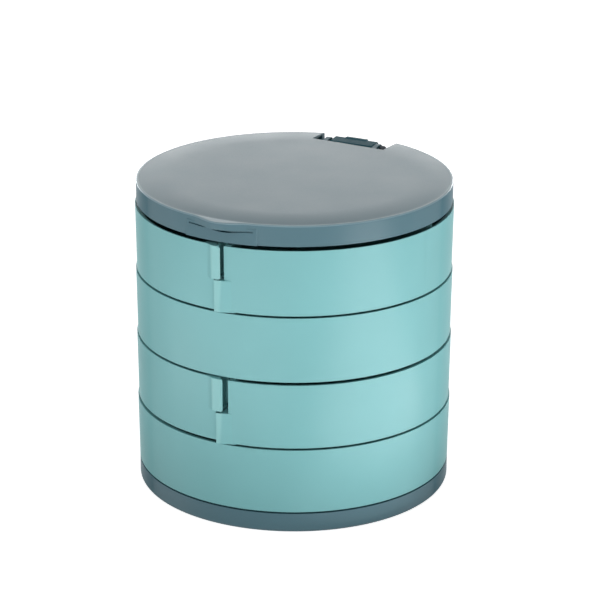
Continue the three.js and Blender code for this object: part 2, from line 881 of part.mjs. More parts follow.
const teal = new THREE.MeshStandardMaterial({ color: 0x7fbabb, roughness: 0.38, metalness: 0 });
const greyBlue = new THREE.MeshStandardMaterial({ color: 0x5c7d88, roughness: 0.36, metalness: 0 });
const darkBlue = new THREE.MeshStandardMaterial({ color: 0x48626d, roughness: 0.4, metalness: 0 });
const steel = new THREE.MeshStandardMaterial({ color: 0xb4b8ba, roughness: 0.35, metalness: 1 });
const mirror = new THREE.MeshStandardMaterial({ color: 0xe6ebec, roughness: 0.03, metalness: 1 });
const foam = new THREE.MeshStandardMaterial({ color: 0xd9d9d4, roughness: 0.9, metalness: 0 });

const organizer = new THREE.Group();

function addPart(name, body, material) {
  const { vertProperties, triVerts } = body.getMesh();
  const geometry = new THREE.BufferGeometry();
  geometry.setAttribute("position", new THREE.Float32BufferAttribute(vertProperties, 3));
  geometry.setIndex(new THREE.Uint32BufferAttribute(triVerts, 1));
  geometry.computeVertexNormals();
  const mesh = new THREE.Mesh(geometry, material);
  mesh.name = name;
  organizer.add(mesh);
}

const upperWings = wingPair(upperWingFoot, upperWingFoot, upperSlotWidth, true);
const lowerWings = wingPair(lowerWingFoot + leftWingLift, lowerWingFoot, lowerSlotWidth, false);
addPart("base_pan", makeBasePan(), greyBlue);
addPart("base_tray", makeBaseTray(), teal);
addPart("lower_left_wing", lowerWings.left, teal);
addPart("lower_right_wing", lowerWings.right, teal);
addPart("middle_tray", makeMiddleTray(), teal);
addPart("upper_left_wing", upperWings.left, teal);
addPart("upper_right_wing", upperWings.right, teal);
addPart("hinge_post", makeHingePost(), darkBlue);
addPart("lid_shell", makeLidShell(), greyBlue);
addPart("lid_hinge_pin", makeHingePin(), steel);
addPart("mirror_pad", makeMirrorPad(), foam);
addPart("lid_mirror", makeMirror(), mirror);
for (const [side, sign] of [["left", -1], ["right", 1]]) {
  addPart(`${side}_pivot_bolt`, makeBolt(sign * pivotX), steel);
  addPart(`${side}_cap_nut`, makeCapNut(sign * pivotX), steel);
  addPart(`${side}_post_screw`, makeUprightScrew(at(sign * postScrewX, pivotY), postScrewReach), steel);
  addPart(`${side}_tray_screw`, makeTrayScrew(sign * trayScrewX), steel);
}
baseScrewPlaces.forEach((place, index) => {
  addPart(`base_screw_${index + 1}`, makeUprightScrew(place, baseScrewReach), steel);
});

export default organizer;
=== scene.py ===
"""A round four-tier makeup organizer box in moulded plastic: teal trays with a grey-blue lid and base.

Tiers two and four are fixed round trays. Tiers one and three are pairs of half trays that swing out on
bolts at the back, and the lid turns up on a pin. Lengths are in metres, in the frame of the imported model.
"""

import json
import math

import bpy
from mathutils import Matrix, Vector


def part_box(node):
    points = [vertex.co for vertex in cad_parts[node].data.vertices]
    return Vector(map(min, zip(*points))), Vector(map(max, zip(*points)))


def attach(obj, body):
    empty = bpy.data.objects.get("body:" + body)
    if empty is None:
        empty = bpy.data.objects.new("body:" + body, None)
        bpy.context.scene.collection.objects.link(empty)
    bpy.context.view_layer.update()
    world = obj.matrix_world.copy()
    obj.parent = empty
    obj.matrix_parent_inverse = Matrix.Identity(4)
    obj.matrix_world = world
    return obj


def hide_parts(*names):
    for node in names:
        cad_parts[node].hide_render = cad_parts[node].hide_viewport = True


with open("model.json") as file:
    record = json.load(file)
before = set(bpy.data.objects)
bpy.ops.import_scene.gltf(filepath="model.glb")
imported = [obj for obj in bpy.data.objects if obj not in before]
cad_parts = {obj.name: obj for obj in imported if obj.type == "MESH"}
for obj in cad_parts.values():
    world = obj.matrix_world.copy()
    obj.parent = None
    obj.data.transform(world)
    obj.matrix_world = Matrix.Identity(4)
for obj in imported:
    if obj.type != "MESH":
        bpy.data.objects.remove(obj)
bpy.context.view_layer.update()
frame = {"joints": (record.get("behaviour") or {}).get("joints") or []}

MM = 0.001

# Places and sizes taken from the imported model
JOINTS = {joint["name"]: Vector(joint["pos_m"]) for joint in frame["joints"]}
PIVOT = JOINTS["upper_right_swing"]
HINGE = JOINTS["lid_hinge"]
PAN_LOW, PAN_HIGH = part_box("base_pan")
LID_LOW, LID_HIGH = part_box("lid_shell")
MIRROR_LOW, MIRROR_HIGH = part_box("lid_mirror")
TRAY_LOW, TRAY_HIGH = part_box("middle_tray")
POST_LOW, POST_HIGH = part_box("hinge_post")
PIN_LOW, PIN_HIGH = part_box("lid_hinge_pin")

# Clearances
GAP = 0.3 * MM
OVER = 2 * MM

# Trays
OUTER = TRAY_HIGH.x
DRAFT = 0.3 * MM
TIER = TRAY_HIGH.z - TRAY_LOW.z
WALL = 1.7 * MM
FLOOR = 1.5 * MM
DIVIDER = 1.3 * MM
CORNER = 2.5 * MM
REBATE_HEIGHT = 0.3 * MM
REBATE_DEPTH = 0.9 * MM
RIM_STEP = 0.3 * MM
TOP_RIM_STEP = 0.8 * MM
RIM_EDGE = 0.4 * MM
SMALL_CORNER = 0.6 * MM
INNER = OUTER - WALL
BEYOND = OUTER + 4 * MM
BASE_TRAY_FOOT = PAN_HIGH.z + GAP
BASE_DIVIDER = 6 * MM
MIDDLE_DIVIDER_DROP = 3 * MM
WING_DIVIDER = -3 * MM
TRAY_BOSS = 3.5 * MM
TRAY_BOSS_DROP = 2.2 * MM
SCREW_HOLE = 1.5 * MM

# Pivots and post
BARREL = 5.4 * MM
BARREL_SIDE = PIVOT.x - BARREL
BORE = 1.8 * MM
NUT_SEAT = 3.5 * MM
POST_HALF = 7.4 * MM
POST_FRONT = POST_LOW.y
POST_REAR = OUTER - 0.35 * MM
POST_FOOT_HALF = 6.2 * MM
POST_FOOT_INSET = 1.2 * MM
NOTCH_HALF = POST_HALF + GAP
NOTCH_FRONT = POST_FRONT - GAP
HEAD_FRONT = HINGE.y - 2.5 * MM
HEAD_REAR = HINGE.y + 2.6 * MM
HEAD_TOP = HINGE.z + 1.65 * MM
HEAD_ROUND = 0.6 * MM
HEAD_SLOPE = 0.4 * MM
SHOULDER_REAR = HINGE.y + 6.1 * MM
SHOULDER_TOP = HINGE.z - 3.2 * MM
SHOULDER_RISE = 2 * MM
RIB_HALF = 3.9 * MM
RIB_FRONT = HINGE.y + 1.6 * MM
RIB_REAR = HINGE.y + 3.2 * MM
RIB_ROUND = 0.35 * MM
POST_PROUD = 0.6 * MM

# Finger tabs
HALF_SPLIT = 0.25 * MM
TAB_REACH = 1.05 * MM
LEFT_RAMP = 3 * MM
RIGHT_RAMP = 5.7 * MM
TAB_DIVE = 0.12 * MM
TAB_BACK = 0.35 * MM
TAB_SPLIT_SHARE = 0.48
LEFT_FLAT = 2.1 * MM
RIGHT_FLAT = -0.4 * MM
UPPER_EDGES = (0.45 * MM, 1.6 * MM)
LOWER_EDGES = (1.2 * MM, 1.1 * MM)
UPPER_SLOT = 1.2 * MM
LOWER_SLOT = 1.6 * MM
SLOT_UNDERCUT = 1.2 * MM
SLOT_DEPTH = 6.7 * MM
TAB_ROUND = 0.5 * MM

# Lid
LID_RADIUS = LID_HIGH.x
LID_PLATE = 1.8 * MM
LID_WALL = 1.7 * MM
LID_UNDER = LID_HIGH.z - LID_PLATE
LID_EDGE = 0.5 * MM
SKIRT_STEP = 0.28 * MM
LID_CROWN = 0.45 * MM
CROWN_WIDTH = 11 * MM
CROWN_RINGS = 10
LIP_REACH = 2.35 * MM
LIP_FOOT = LID_HIGH.z - 2.8 * MM
LIP_HALF_ANGLE = math.radians(11.5)
LIP_GROOVE = 0.42 * MM
LIP_GROOVE_DEPTH = 0.16 * MM
LIP_GROOVE_DROP = 0.37
PAD_REACH = 0.55 * MM
PAD_TOP_REACH = 0.12 * MM
PAD_EDGE = 0.5 * MM
PAD_HALF = 12.2 * MM
PAD_TOP = LID_HIGH.z - 2.1 * MM
LID_NOTCH_HALF = 13.1 * MM
LID_NOTCH_FRONT = HEAD_FRONT - 1.2 * MM
LID_NOTCH_BEVEL = 1.3 * MM
LID_NOTCH_SKEW = 1.4 * MM
NOTCH_ROOF = 0.45 * MM
NOTCH_UNDERCUT = 3 * MM
NOTCH_UNDERCUT_FRONT = 0.8 * MM
RELIEF_HALF = 24 * MM
RELIEF_TOP = LID_LOW.z + 3.2 * MM
ARM_INNER = 8.1 * MM
ARM_OUTER = 9.65 * MM
ARM_RADIUS = 1.6 * MM
ARM_ROOT = HINGE.y - 7.3 * MM
PIN_BORE = 1.05 * MM
PIN_RADIUS = 0.75 * MM
PIN_HEAD_ROUND = 0.95 * MM
MIRROR_BEVEL = 0.7 * MM
RIM_INNER = MIRROR_HIGH.x + GAP
RIM_WALL = 1.2 * MM
RIM_BELOW = 0.4 * MM

# Base pan
PAN_RADIUS = PAN_HIGH.x
PAN_WALL = 1.8 * MM
PAN_FLOOR = 2 * MM
PAN_ROUND = 1.2 * MM
PAN_RECESS = 0.7 * MM
PAN_HUB = 12 * MM
PAN_RIM = 5.2 * MM
PAN_BOSS_WALL = 2 * MM
PAN_BOSS_TOP = BASE_TRAY_FOOT - TRAY_BOSS_DROP - GAP
POST_FOOT_FRONT = POST_FRONT + POST_FOOT_INSET
POST_FOOT_REAR = PAN_RADIUS - PAN_WALL - GAP - POST_FOOT_INSET

# Fasteners
HEAD_RECESS = 0.9 * MM
BOLT_HEAD = 2.8 * MM
BOLT_HEAD_HEIGHT = 1.9 * MM
SCREW_HEAD = 2.5 * MM
SCREW_HEAD_HEIGHT = 1.6 * MM
SHANK = 1.2 * MM
BOLT_SHANK = 1.5 * MM
CROSS_HALF = 1.35 * MM
CROSS_SLOT = 0.32 * MM
CROSS_DEPTH = 0.9 * MM
HEAD_CROWN = 0.6 * MM
TIP_BEVEL = 0.5 * MM
NUT_ROOF = 0.7 * MM
NUT_SLOT = 0.7 * MM
NUT_SLOT_DEPTH = 0.4 * MM
PIVOT_BOLTS = ["left_pivot_bolt", "right_pivot_bolt"]
POST_SCREWS = ["left_post_screw", "right_post_screw"]
TRAY_SCREWS = ["left_tray_screw", "right_tray_screw"]
BASE_SCREWS = ["base_screw_1", "base_screw_2", "base_screw_3"]
CAP_NUTS = ["left_cap_nut", "right_cap_nut"]

# Edges left by the mould, and how finely round forms are divided
EDGE = 0.24 * MM
ROUND_SIDES = 240
FINE_SIDES = 720
SMALL_SIDES = 48
SHANK_SIDES = 24
SMALL_EDGE = 0.1 * MM
SMOOTH_ANGLE = math.radians(35)
HAIR = 0.01 * MM

# Painted highlights on the finger tabs and the lid's rim, and the gloss of the plastic seen edge on
# Lighter teal painted on the raised faces of the finger tabs, a painted highlight
PAINTED_TAB_HIGHLIGHT = (0.265, 0.555, 0.56)
TAB_HIGHLIGHT_FROM = OUTER + 0.55 * TAB_REACH
TAB_HIGHLIGHT_FULLY = OUTER + 0.75 * TAB_REACH
# Lighter grey-blue painted on the lid's rounded top edge, a painted highlight line
PAINTED_RIM_HIGHLIGHT = (0.22, 0.34, 0.39)
GRAZING_REFLECTION = 0.02
SIDE_FADE = (0.4, 0.65)
LEVEL_FROM = 0.2
LEVEL_FULLY = 0.7
NOISE_LOW = 0.3
NOISE_HIGH = 0.7

# Camera and light
CAMERA_AZIMUTH = 26.8
CAMERA_REACH = 0.7776
CAMERA_HEIGHT = 0.3407
CAMERA_TURNS = (26.665, 70.03, 0.25)
CAMERA_LENS = 156.11
CAMERA_SENSOR = 36
CAMERA_CLIP = 0.01
WORLD_LIGHT = 0.26
FLOOR_GLOW = 0.8
FLOOR_SIZE = 6
PANEL_HEIGHT = 1 * MM


def deselect():
    bpy.ops.object.select_all(action="DESELECT")


def take(piece):
    """Makes one object the selected and active one."""
    deselect()
    piece.select_set(True)
    bpy.context.view_layer.objects.active = piece
    return piece


def with_place_applied(piece):
    """Puts a piece's place, turn and size into its mesh."""
    take(piece)
    bpy.ops.object.transform_apply(location=True, rotation=True, scale=True)
    return piece


def settled(name):
    """Names the object just added and puts its place and size into its mesh."""
    bpy.context.object.name = name
    return with_place_applied(bpy.context.object)


def upright(name, foot_radius, top_radius, low, high, x=0, y=0, sides=ROUND_SIDES):
    deselect()
    bpy.ops.mesh.primitive_cone_add(
        vertices=sides,
        radius1=foot_radius,
        radius2=top_radius,
        depth=high - low,
        location=(x, y, (low + high) / 2),
    )
    return settled(name)


def rod(name, radius, low, high, x=0, y=0, sides=SMALL_SIDES):
    return upright(name, radius, radius, low, high, x, y, sides)


def cross_rod(name, radius, start, end, sides=SMALL_SIDES):
    """A rod between two points."""
    start, end = Vector(start), Vector(end)
    along = end - start
    deselect()
    bpy.ops.mesh.primitive_cylinder_add(
        vertices=sides,
        radius=radius,
        depth=along.length,
        location=(start + end) / 2,
        rotation=along.to_track_quat("Z", "Y").to_euler(),
    )
    return settled(name)


def block(name, x, y, z):
    """A box between two values on each axis."""
    deselect()
    spans = [sorted(span) for span in (x, y, z)]
    bpy.ops.mesh.primitive_cube_add(
        size=1,
        location=[(low + high) / 2 for low, high in spans],
        scale=[high - low for low, high in spans],
    )
    return settled(name)


def apply_all(piece):
    take(piece)
    for modifier in list(piece.modifiers):
        bpy.ops.object.modifier_apply(modifier=modifier.name)
    return piece


def combine(piece, tool, operation):
    modifier = piece.modifiers.new(operation.lower(), "BOOLEAN")
    modifier.operation = operation
    modifier.solver = "MANIFOLD"
    modifier.object = tool
    apply_all(piece)
    bpy.data.objects.remove(tool, do_unlink=True)
    return piece


def cut(piece, *tools):
    for tool in tools:
        combine(piece, tool, "DIFFERENCE")
    return piece


def join(piece, *others):
    for other in others:
        combine(piece, other, "UNION")
    return piece


def keep(piece, tool):
    return combine(piece, tool, "INTERSECT")


def ring(name, outer_radius, inner_radius, low, high):
    """A round ring about the box's axis."""
    core = rod("core", inner_radius, low - OVER, high + OVER, sides=ROUND_SIDES)
    return cut(rod(name, outer_radius, low, high, sides=ROUND_SIDES), core)


def with_nothing_selected(piece, kind):
    """Leaves a piece in object mode with none of its vertices, edges or faces selected."""
    take(piece)
    bpy.ops.object.mode_set(mode="EDIT")
    bpy.ops.mesh.select_mode(type=kind)
    bpy.ops.mesh.select_all(action="DESELECT")
    bpy.ops.object.mode_set(mode="OBJECT")


def bevel_edges(piece, chosen, width, segments):
    """Bevels the edges that chosen(start, end) picks, in edit mode."""
    with_nothing_selected(piece, "EDGE")
    for edge in piece.data.edges:
        start, end = (piece.data.vertices[index].co for index in edge.vertices)
        edge.select = chosen(start, end)
    bpy.ops.object.mode_set(mode="EDIT")
    bpy.ops.mesh.bevel(offset=width, segments=segments, affect="EDGES")
    bpy.ops.object.mode_set(mode="OBJECT")
    return piece


def is_upright(start, end):
    return (start.xy - end.xy).length < HAIR


def middle_of(node):
    low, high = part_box(node)
    return ((low + high) / 2).xy


def at_side(x):
    return lambda start, end: max(abs(start.x - x), abs(end.x - x)) < HAIR


def front_edge_at(x):
    """Picks a steep edge in the round front at one side."""
    beside = at_side(x)
    front = -0.9 * math.sqrt(OUTER ** 2 - x ** 2)

    def chosen(start, end):
        return beside(start, end) and max(start.y, end.y) < front and abs(start.z - end.z) > MM

    return chosen


def at_height(height):
    return lambda start, end: max(abs(start.z - height), abs(end.z - height)) < HAIR


def above(height):
    return lambda start, end: min(start.z, end.z) > height - HAIR


def corners_where(piece, chosen):
    """The numbers of the vertices that chosen(place) picks."""
    return [vertex.index for vertex in piece.data.vertices if chosen(vertex.co)]


def move_rows(piece, rows):
    """Moves rows of vertices in edit mode. Each row is a list of vertex numbers and its move."""
    for numbers, move in rows:
        with_nothing_selected(piece, "VERT")
        for number in numbers:
            piece.data.vertices[number].select = True
        bpy.ops.object.mode_set(mode="EDIT")
        bpy.ops.transform.translate(value=move)
        bpy.ops.object.mode_set(mode="OBJECT")
    return piece


def front_rows(piece, least_radius):
    """The upright rows of outer vertices at the front, by their angle from the front."""
    rows = {}
    for vertex in piece.data.vertices:
        if vertex.co.y < 0 and vertex.co.xy.length > least_radius:
            rows.setdefault(round(math.atan2(vertex.co.x, -vertex.co.y), 4), []).append(vertex.index)
    return rows


def swell_front(piece, least_radius, reach_at):
    """Moves each upright row of outer vertices at the front in or out by reach_at(angle)."""
    moves = []
    for angle, numbers in front_rows(piece, least_radius).items():
        reach = reach_at(angle)
        if abs(reach) > HAIR / 10:
            moves.append((numbers, (reach * math.sin(angle), -reach * math.cos(angle), 0)))
    return move_rows(piece, moves)


def lower_front(piece, least_radius, drop_at):
    """Moves each upright row of outer vertices at the front down by drop_at(angle)."""
    moves = []
    for angle, numbers in front_rows(piece, least_radius).items():
        if drop_at(angle) > HAIR / 10:
            moves.append((numbers, (0, 0, -drop_at(angle))))
    return move_rows(piece, moves)


def soften(piece, width=EDGE, segments=3):
    """Asks for a small rounding of the sharp edges, and keeps the faces beside it flat.

    The cut mouldings get next to nothing of the rounding, and the wings get none.
    """
    rounding = piece.modifiers.new("moulded_edges", "BEVEL")
    rounding.width = width
    rounding.segments = segments
    rounding.limit_method = "ANGLE"
    rounding.angle_limit = SMOOTH_ANGLE
    apply_all(piece)
    bpy.ops.object.shade_smooth_by_angle(angle=SMOOTH_ANGLE)
    flat = piece.modifiers.new("flat_faces", "WEIGHTED_NORMAL")
    flat.keep_sharp = True
    return apply_all(piece)


def finished(piece, node, body, material):
    piece.data.materials.clear()
    piece.data.materials.append(material)
    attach(piece, body)
    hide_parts(node)
    return piece


# Materials


def noise(nodes, links, place, scale, detail):
    texture = nodes.new("ShaderNodeTexNoise")
    texture.inputs["Scale"].default_value = scale
    texture.inputs["Detail"].default_value = detail
    links.new(place.outputs["Object"], texture.inputs["Vector"])
    return texture.outputs["Fac"]


def spread(nodes, links, value, low, high):
    """Spreads the usual range of a noise from low to high."""
    scaled = nodes.new("ShaderNodeMapRange")
    scaled.inputs["From Min"].default_value = NOISE_LOW
    scaled.inputs["From Max"].default_value = NOISE_HIGH
    scaled.inputs["To Min"].default_value = low
    scaled.inputs["To Max"].default_value = high
    links.new(value, scaled.inputs["Value"])
    return scaled.outputs["Result"]


def toned(nodes, links, value, colour, dark, light):
    """A colour between a darker and a lighter share of itself."""
    tone = nodes.new("ShaderNodeMix")
    tone.data_type = "RGBA"
    tone.inputs["A"].default_value = [channel * dark for channel in colour] + [1]
    tone.inputs["B"].default_value = [channel * light for channel in colour] + [1]
    links.new(value, tone.inputs["Factor"])
    return tone.outputs["Result"]


def share_between(nodes, links, value, start, end):
    """Zero where the value is at the start or before it, and one at the end or beyond it."""
    share = nodes.new("ShaderNodeMapRange")
    share.interpolation_type = "SMOOTHSTEP"
    share.inputs["From Min"].default_value = start
    share.inputs["From Max"].default_value = end
    links.new(value, share.inputs["Value"])
    return share.outputs["Result"]


def product(nodes, links, first, second):
    """Two values multiplied."""
    times = nodes.new("ShaderNodeMath")
    times.operation = "MULTIPLY"
    links.new(first, times.inputs[0])
    links.new(second, times.inputs[1])
    return times.outputs["Value"]


def axis_distance(nodes, links, place):
    """How far a place is from the box's axis."""
    level = nodes.new("ShaderNodeVectorMath")
    level.operation = "MULTIPLY"
    level.inputs[1].default_value = (1, 1, 0)
    links.new(place.outputs["Object"], level.inputs[0])
    distance = nodes.new("ShaderNodeVectorMath")
    distance.operation = "LENGTH"
    links.new(level.outputs["Vector"], distance.inputs[0])
    return distance.outputs["Value"]


def tab_highlight_mask(nodes, links, place):
    """One on the raised faces of the finger tabs, where a lighter colour is painted on as a highlight."""
    return share_between(nodes, links, axis_distance(nodes, links, place), TAB_HIGHLIGHT_FROM, TAB_HIGHLIGHT_FULLY)


def rim_highlight_mask(nodes, links, place):
    """One on the rounded top edge of the lid, where a lighter colour is painted on as a highlight line."""
    outside = share_between(
        nodes, links, axis_distance(nodes, links, place), LID_RADIUS - 2 * LID_EDGE, LID_RADIUS - LID_EDGE
    )
    split = nodes.new("ShaderNodeSeparateXYZ")
    links.new(place.outputs["Object"], split.inputs["Vector"])
    edge_top = LID_HIGH.z - LID_CROWN
    raised = share_between(nodes, links, split.outputs["Z"], edge_top - LID_EDGE, edge_top - LID_EDGE / 2)
    below = share_between(nodes, links, split.outputs["Z"], edge_top + LID_EDGE / 4, edge_top)
    return product(nodes, links, outside, product(nodes, links, raised, below))


def grazing(nodes, links, reflection, start, end):
    """The gloss, which fades where the surface is seen edge on, as the fine grain of the mould does."""
    facing = nodes.new("ShaderNodeLayerWeight")
    facing.inputs["Blend"].default_value = 0.5
    fade = nodes.new("ShaderNodeMapRange")
    fade.inputs["From Min"].default_value = start
    fade.inputs["From Max"].default_value = end
    fade.inputs["To Min"].default_value = reflection
    fade.inputs["To Max"].default_value = GRAZING_REFLECTION
    links.new(facing.outputs["Facing"], fade.inputs["Value"])
    return fade.outputs["Result"]


def level_share(nodes, links, place):
    """One on level faces such as the lid's top, and zero on upright ones."""
    split = nodes.new("ShaderNodeSeparateXYZ")
    links.new(place.outputs["Normal"], split.inputs["Vector"])
    return share_between(nodes, links, split.outputs["Z"], LEVEL_FROM, LEVEL_FULLY)


def gloss_level(nodes, links, place, reflection, fade):
    """The gloss, which fades sooner on the sides than on level faces."""
    by_level = nodes.new("ShaderNodeMix")
    links.new(level_share(nodes, links, place), by_level.inputs["Factor"])
    links.new(grazing(nodes, links, reflection, *SIDE_FADE), by_level.inputs["A"])
    links.new(grazing(nodes, links, reflection, *fade), by_level.inputs["B"])
    return by_level.outputs["Result"]


def plastic(name, colour, roughness, reflection, fade=(0.72, 0.85), highlight_where=None, highlight_colour=None):
    """Satin moulded plastic: a faint flow of tone, cloudy gloss and the fine grain of the mould.

    The gloss fades between two shares of a view edge on. Places can be painted a lighter colour, as a
    painted highlight.
    """
    material = bpy.data.materials.new(name)
    material.use_nodes = True
    nodes, links = material.node_tree.nodes, material.node_tree.links
    shader = nodes["Principled BSDF"]
    place = nodes.new("ShaderNodeTexCoord")
    links.new(gloss_level(nodes, links, place, reflection, fade), shader.inputs["Specular IOR Level"])
    flow = spread(nodes, links, noise(nodes, links, place, scale=28, detail=3), 0, 1)
    cloud = noise(nodes, links, place, scale=60, detail=4)
    grain = noise(nodes, links, place, scale=2600, detail=2)
    base = toned(nodes, links, flow, colour, dark=0.965, light=1.035)
    # Painted highlight: a lighter colour mixed into the base where the mask is one
    if highlight_where:
        tone = nodes.new("ShaderNodeMix")
        tone.data_type = "RGBA"
        links.new(highlight_where(nodes, links, place), tone.inputs["Factor"])
        links.new(base, tone.inputs["A"])
        tone.inputs["B"].default_value = (*highlight_colour, 1)
        base = tone.outputs["Result"]
    links.new(base, shader.inputs["Base Color"])
    gloss = nodes.new("ShaderNodeMath")
    gloss.operation = "ADD"
    links.new(spread(nodes, links, cloud, roughness - 0.025, roughness + 0.025), gloss.inputs[0])
    links.new(spread(nodes, links, grain, -0.02, 0.02), gloss.inputs[1])
    links.new(gloss.outputs["Value"], shader.inputs["Roughness"])
    bump = nodes.new("ShaderNodeBump")
    bump.inputs["Strength"].default_value = 0.12
    bump.inputs["Distance"].default_value = 0.02 * MM
    links.new(grain, bump.inputs["Height"])
    links.new(bump.outputs["Normal"], shader.inputs["Normal"])
    return material


def metal(name, colour, roughness, spread_by):
    """Bright metal with faint marks in its tone and gloss."""
    material = bpy.data.materials.new(name)
    material.use_nodes = True
    nodes, links = material.node_tree.nodes, material.node_tree.links
    shader = nodes["Principled BSDF"]
    shader.inputs["Metallic"].default_value = 1
    place = nodes.new("ShaderNodeTexCoord")
    marks = noise(nodes, links, place, scale=900, detail=4)
    links.new(toned(nodes, links, marks, colour, dark=0.93, light=1), shader.inputs["Base Color"])
    gloss = spread(nodes, links, marks, roughness - spread_by, roughness + spread_by)
    links.new(gloss, shader.inputs["Roughness"])
    return material


TEAL = plastic(
    "teal_satin_plastic",
    (0.2, 0.47, 0.485),
    roughness=0.33,
    reflection=0.3,
    fade=(0.5, 0.8),
    # Painted highlight on the raised faces of the finger tabs
    highlight_where=tab_highlight_mask,
    highlight_colour=PAINTED_TAB_HIGHLIGHT,
)
GREY_BLUE = plastic(
    "grey_blue_satin_plastic",
    (0.06, 0.145, 0.18),
    roughness=0.33,
    reflection=0.45,
    # Painted highlight line on the lid's rounded top edge
    highlight_where=rim_highlight_mask,
    highlight_colour=PAINTED_RIM_HIGHLIGHT,
)
DARK_BLUE = plastic("dark_blue_satin_plastic", (0.04, 0.12, 0.15), roughness=0.38, reflection=0.05)
PIN = plastic("dark_pin_plastic", (0.04, 0.055, 0.07), roughness=0.3, reflection=0.4)
FOAM = plastic("white_foam", (0.75, 0.75, 0.72), roughness=0.85, reflection=0.3)
STEEL = metal("zinc_plated_steel", (0.6, 0.61, 0.62), roughness=0.32, spread_by=0.08)
MIRROR = metal("mirror_glass", (0.9, 0.92, 0.92), roughness=0.03, spread_by=0.01)


# Trays


def tier_form(name, foot, top):
    """The drafted outside of a tier, full size at its top edge, with a rebate at its foot."""
    form = upright(name, OUTER - DRAFT, OUTER, foot, top)
    return cut(form, ring("rebate", BEYOND, OUTER - REBATE_DEPTH, foot - OVER, foot + REBATE_HEIGHT))


def rim_step(top, depth=RIM_STEP):
    """The tool for the step inside a tray's top edge, which leaves a thin outer lip."""
    return ring("step", OUTER - RIM_EDGE, INNER - HAIR, top - depth, top + OVER)


def inside_of_wall(foot, top):
    return rod("inside", INNER, foot, top, sides=ROUND_SIDES)


def room(foot, top, *boxes):
    """The tool for one compartment: boxes with rounded upright corners, kept inside the round wall."""
    low, high = foot + FLOOR, top + OVER
    whole = None
    for x, y, corner in boxes:
        part = bevel_edges(block("room", x, y, (low, high)), is_upright, corner, 8)
        whole = join(whole, part) if whole else part
    return keep(whole, inside_of_wall(low, high))


def barrel(foot, top, side):
    return rod("barrel", BARREL, foot, top, side * PIVOT.x, PIVOT.y)


def bore(foot, top, side):
    return rod("bore", BORE, foot - OVER, top + OVER, side * PIVOT.x, PIVOT.y)


def round_tray(name, foot, rooms):
    """A fixed tray: its drum with the rooms cut out, the housing of the post and the two bolt barrels."""
    top = foot + TIER
    tray = cut(tier_form(name, foot, top), *rooms)
    housing = block(
        "housing",
        (-NOTCH_HALF - WALL, NOTCH_HALF + WALL),
        (NOTCH_FRONT - WALL, BEYOND),
        (foot, top),
    )
    bevel_edges(housing, is_upright, SMALL_CORNER, 4)
    join(tray, keep(housing, rod("inside", INNER + WALL / 2, foot, top, sides=ROUND_SIDES)))
    for side in (-1, 1):
        join(tray, barrel(foot, top, side))
        cut(tray, bore(foot, top, side))
    notch = block("notch", (-NOTCH_HALF, NOTCH_HALF), (NOTCH_FRONT, BEYOND), (foot - OVER, top + OVER))
    return cut(tray, rim_step(top), notch)


def make_base_tray():
    foot, top = BASE_TRAY_FOOT, BASE_TRAY_FOOT + TIER
    half = DIVIDER / 2
    rooms = [
        room(foot, top, ((side * half, side * BEYOND), (-BEYOND, BASE_DIVIDER - half), CORNER))
        for side in (-1, 1)
    ]
    rooms.append(room(foot, top, ((-BEYOND, BEYOND), (BASE_DIVIDER + half, BEYOND), CORNER)))
    tray = round_tray("base_tray_moulding", foot, rooms)
    for node in BASE_SCREWS:
        x, y = middle_of(node)
        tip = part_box(node)[1].z
        join(tray, rod("boss", TRAY_BOSS, foot - TRAY_BOSS_DROP, foot + FLOOR / 2, x, y))
        cut(tray, rod("pilot", SCREW_HOLE, foot - TRAY_BOSS_DROP - OVER, tip + GAP, x, y))
    return finished(soften(tray), "base_tray", "root", TEAL)


def make_middle_tray():
    foot, top = TRAY_LOW.z, TRAY_HIGH.z
    half = DIVIDER / 2
    rooms = [
        room(foot, top, ((side * half, side * BEYOND), span, CORNER))
        for side in (-1, 1)
        for span in ((-BEYOND, -half), (half, BEYOND))
    ]
    tray = round_tray("middle_tray_moulding", foot, rooms)
    rear = NOTCH_FRONT - WALL
    lowered = block("lowered", (-OUTER, OUTER), (-OUTER, rear), (top - MIDDLE_DIVIDER_DROP, top + OVER))
    cut(tray, keep(lowered, inside_of_wall(foot, top + OVER)))
    for node in TRAY_SCREWS:
        low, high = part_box(node)
        x, z = (low.x + high.x) / 2, (low.z + high.z) / 2
        cut(tray, cross_rod("hole", SCREW_HOLE, (x, rear - OVER, z), (x, NOTCH_FRONT + OVER, z)))
    return finished(soften(tray), "middle_tray", "root", TEAL)


def finger(side, foot, top, low, high, edge, flat_end, ramp, creased):
    """A finger tab with its raised grip, flat as far as its end and then a ramp back to the wall."""
    grip = OUTER + TAB_REACH
    ramp_end = flat_end + ramp
    tab = upright("finger", grip - DRAFT, grip, foot, top, sides=FINE_SIDES)
    keep(tab, block("span", (-side * edge, side * ramp_end), (-grip - OVER, 0), (low, high)))
    bevel_edges(tab, at_side(-side * edge), TAB_ROUND, 5)
    cut(tab, rod("inside", INNER, low - OVER, high + OVER, sides=ROUND_SIDES))

    def fall(angle):
        along = (side * math.sin(angle) * grip - flat_end) / ramp
        if along <= 0:
            return 0
        along = min(along, 1)
        sunk = along * (2 - along) if creased else along * along * (3 - 2 * along)
        return -TAB_REACH * sunk - TAB_DIVE * along

    return swell_front(tab, OUTER - DRAFT, fall)


def swing_room(side, foot, top):
    """Frees the rear corner of a wing, behind its barrel, so that it can turn beside the post."""
    tool = block("behind", (0, -side * BEYOND), (0, BEYOND), (foot - OVER, top + OVER))
    tool.rotation_euler.z = -side * math.atan2(PIVOT.x, PIVOT.y)
    tool.location = (side * PIVOT.x, PIVOT.y, 0)
    return with_place_applied(tool)


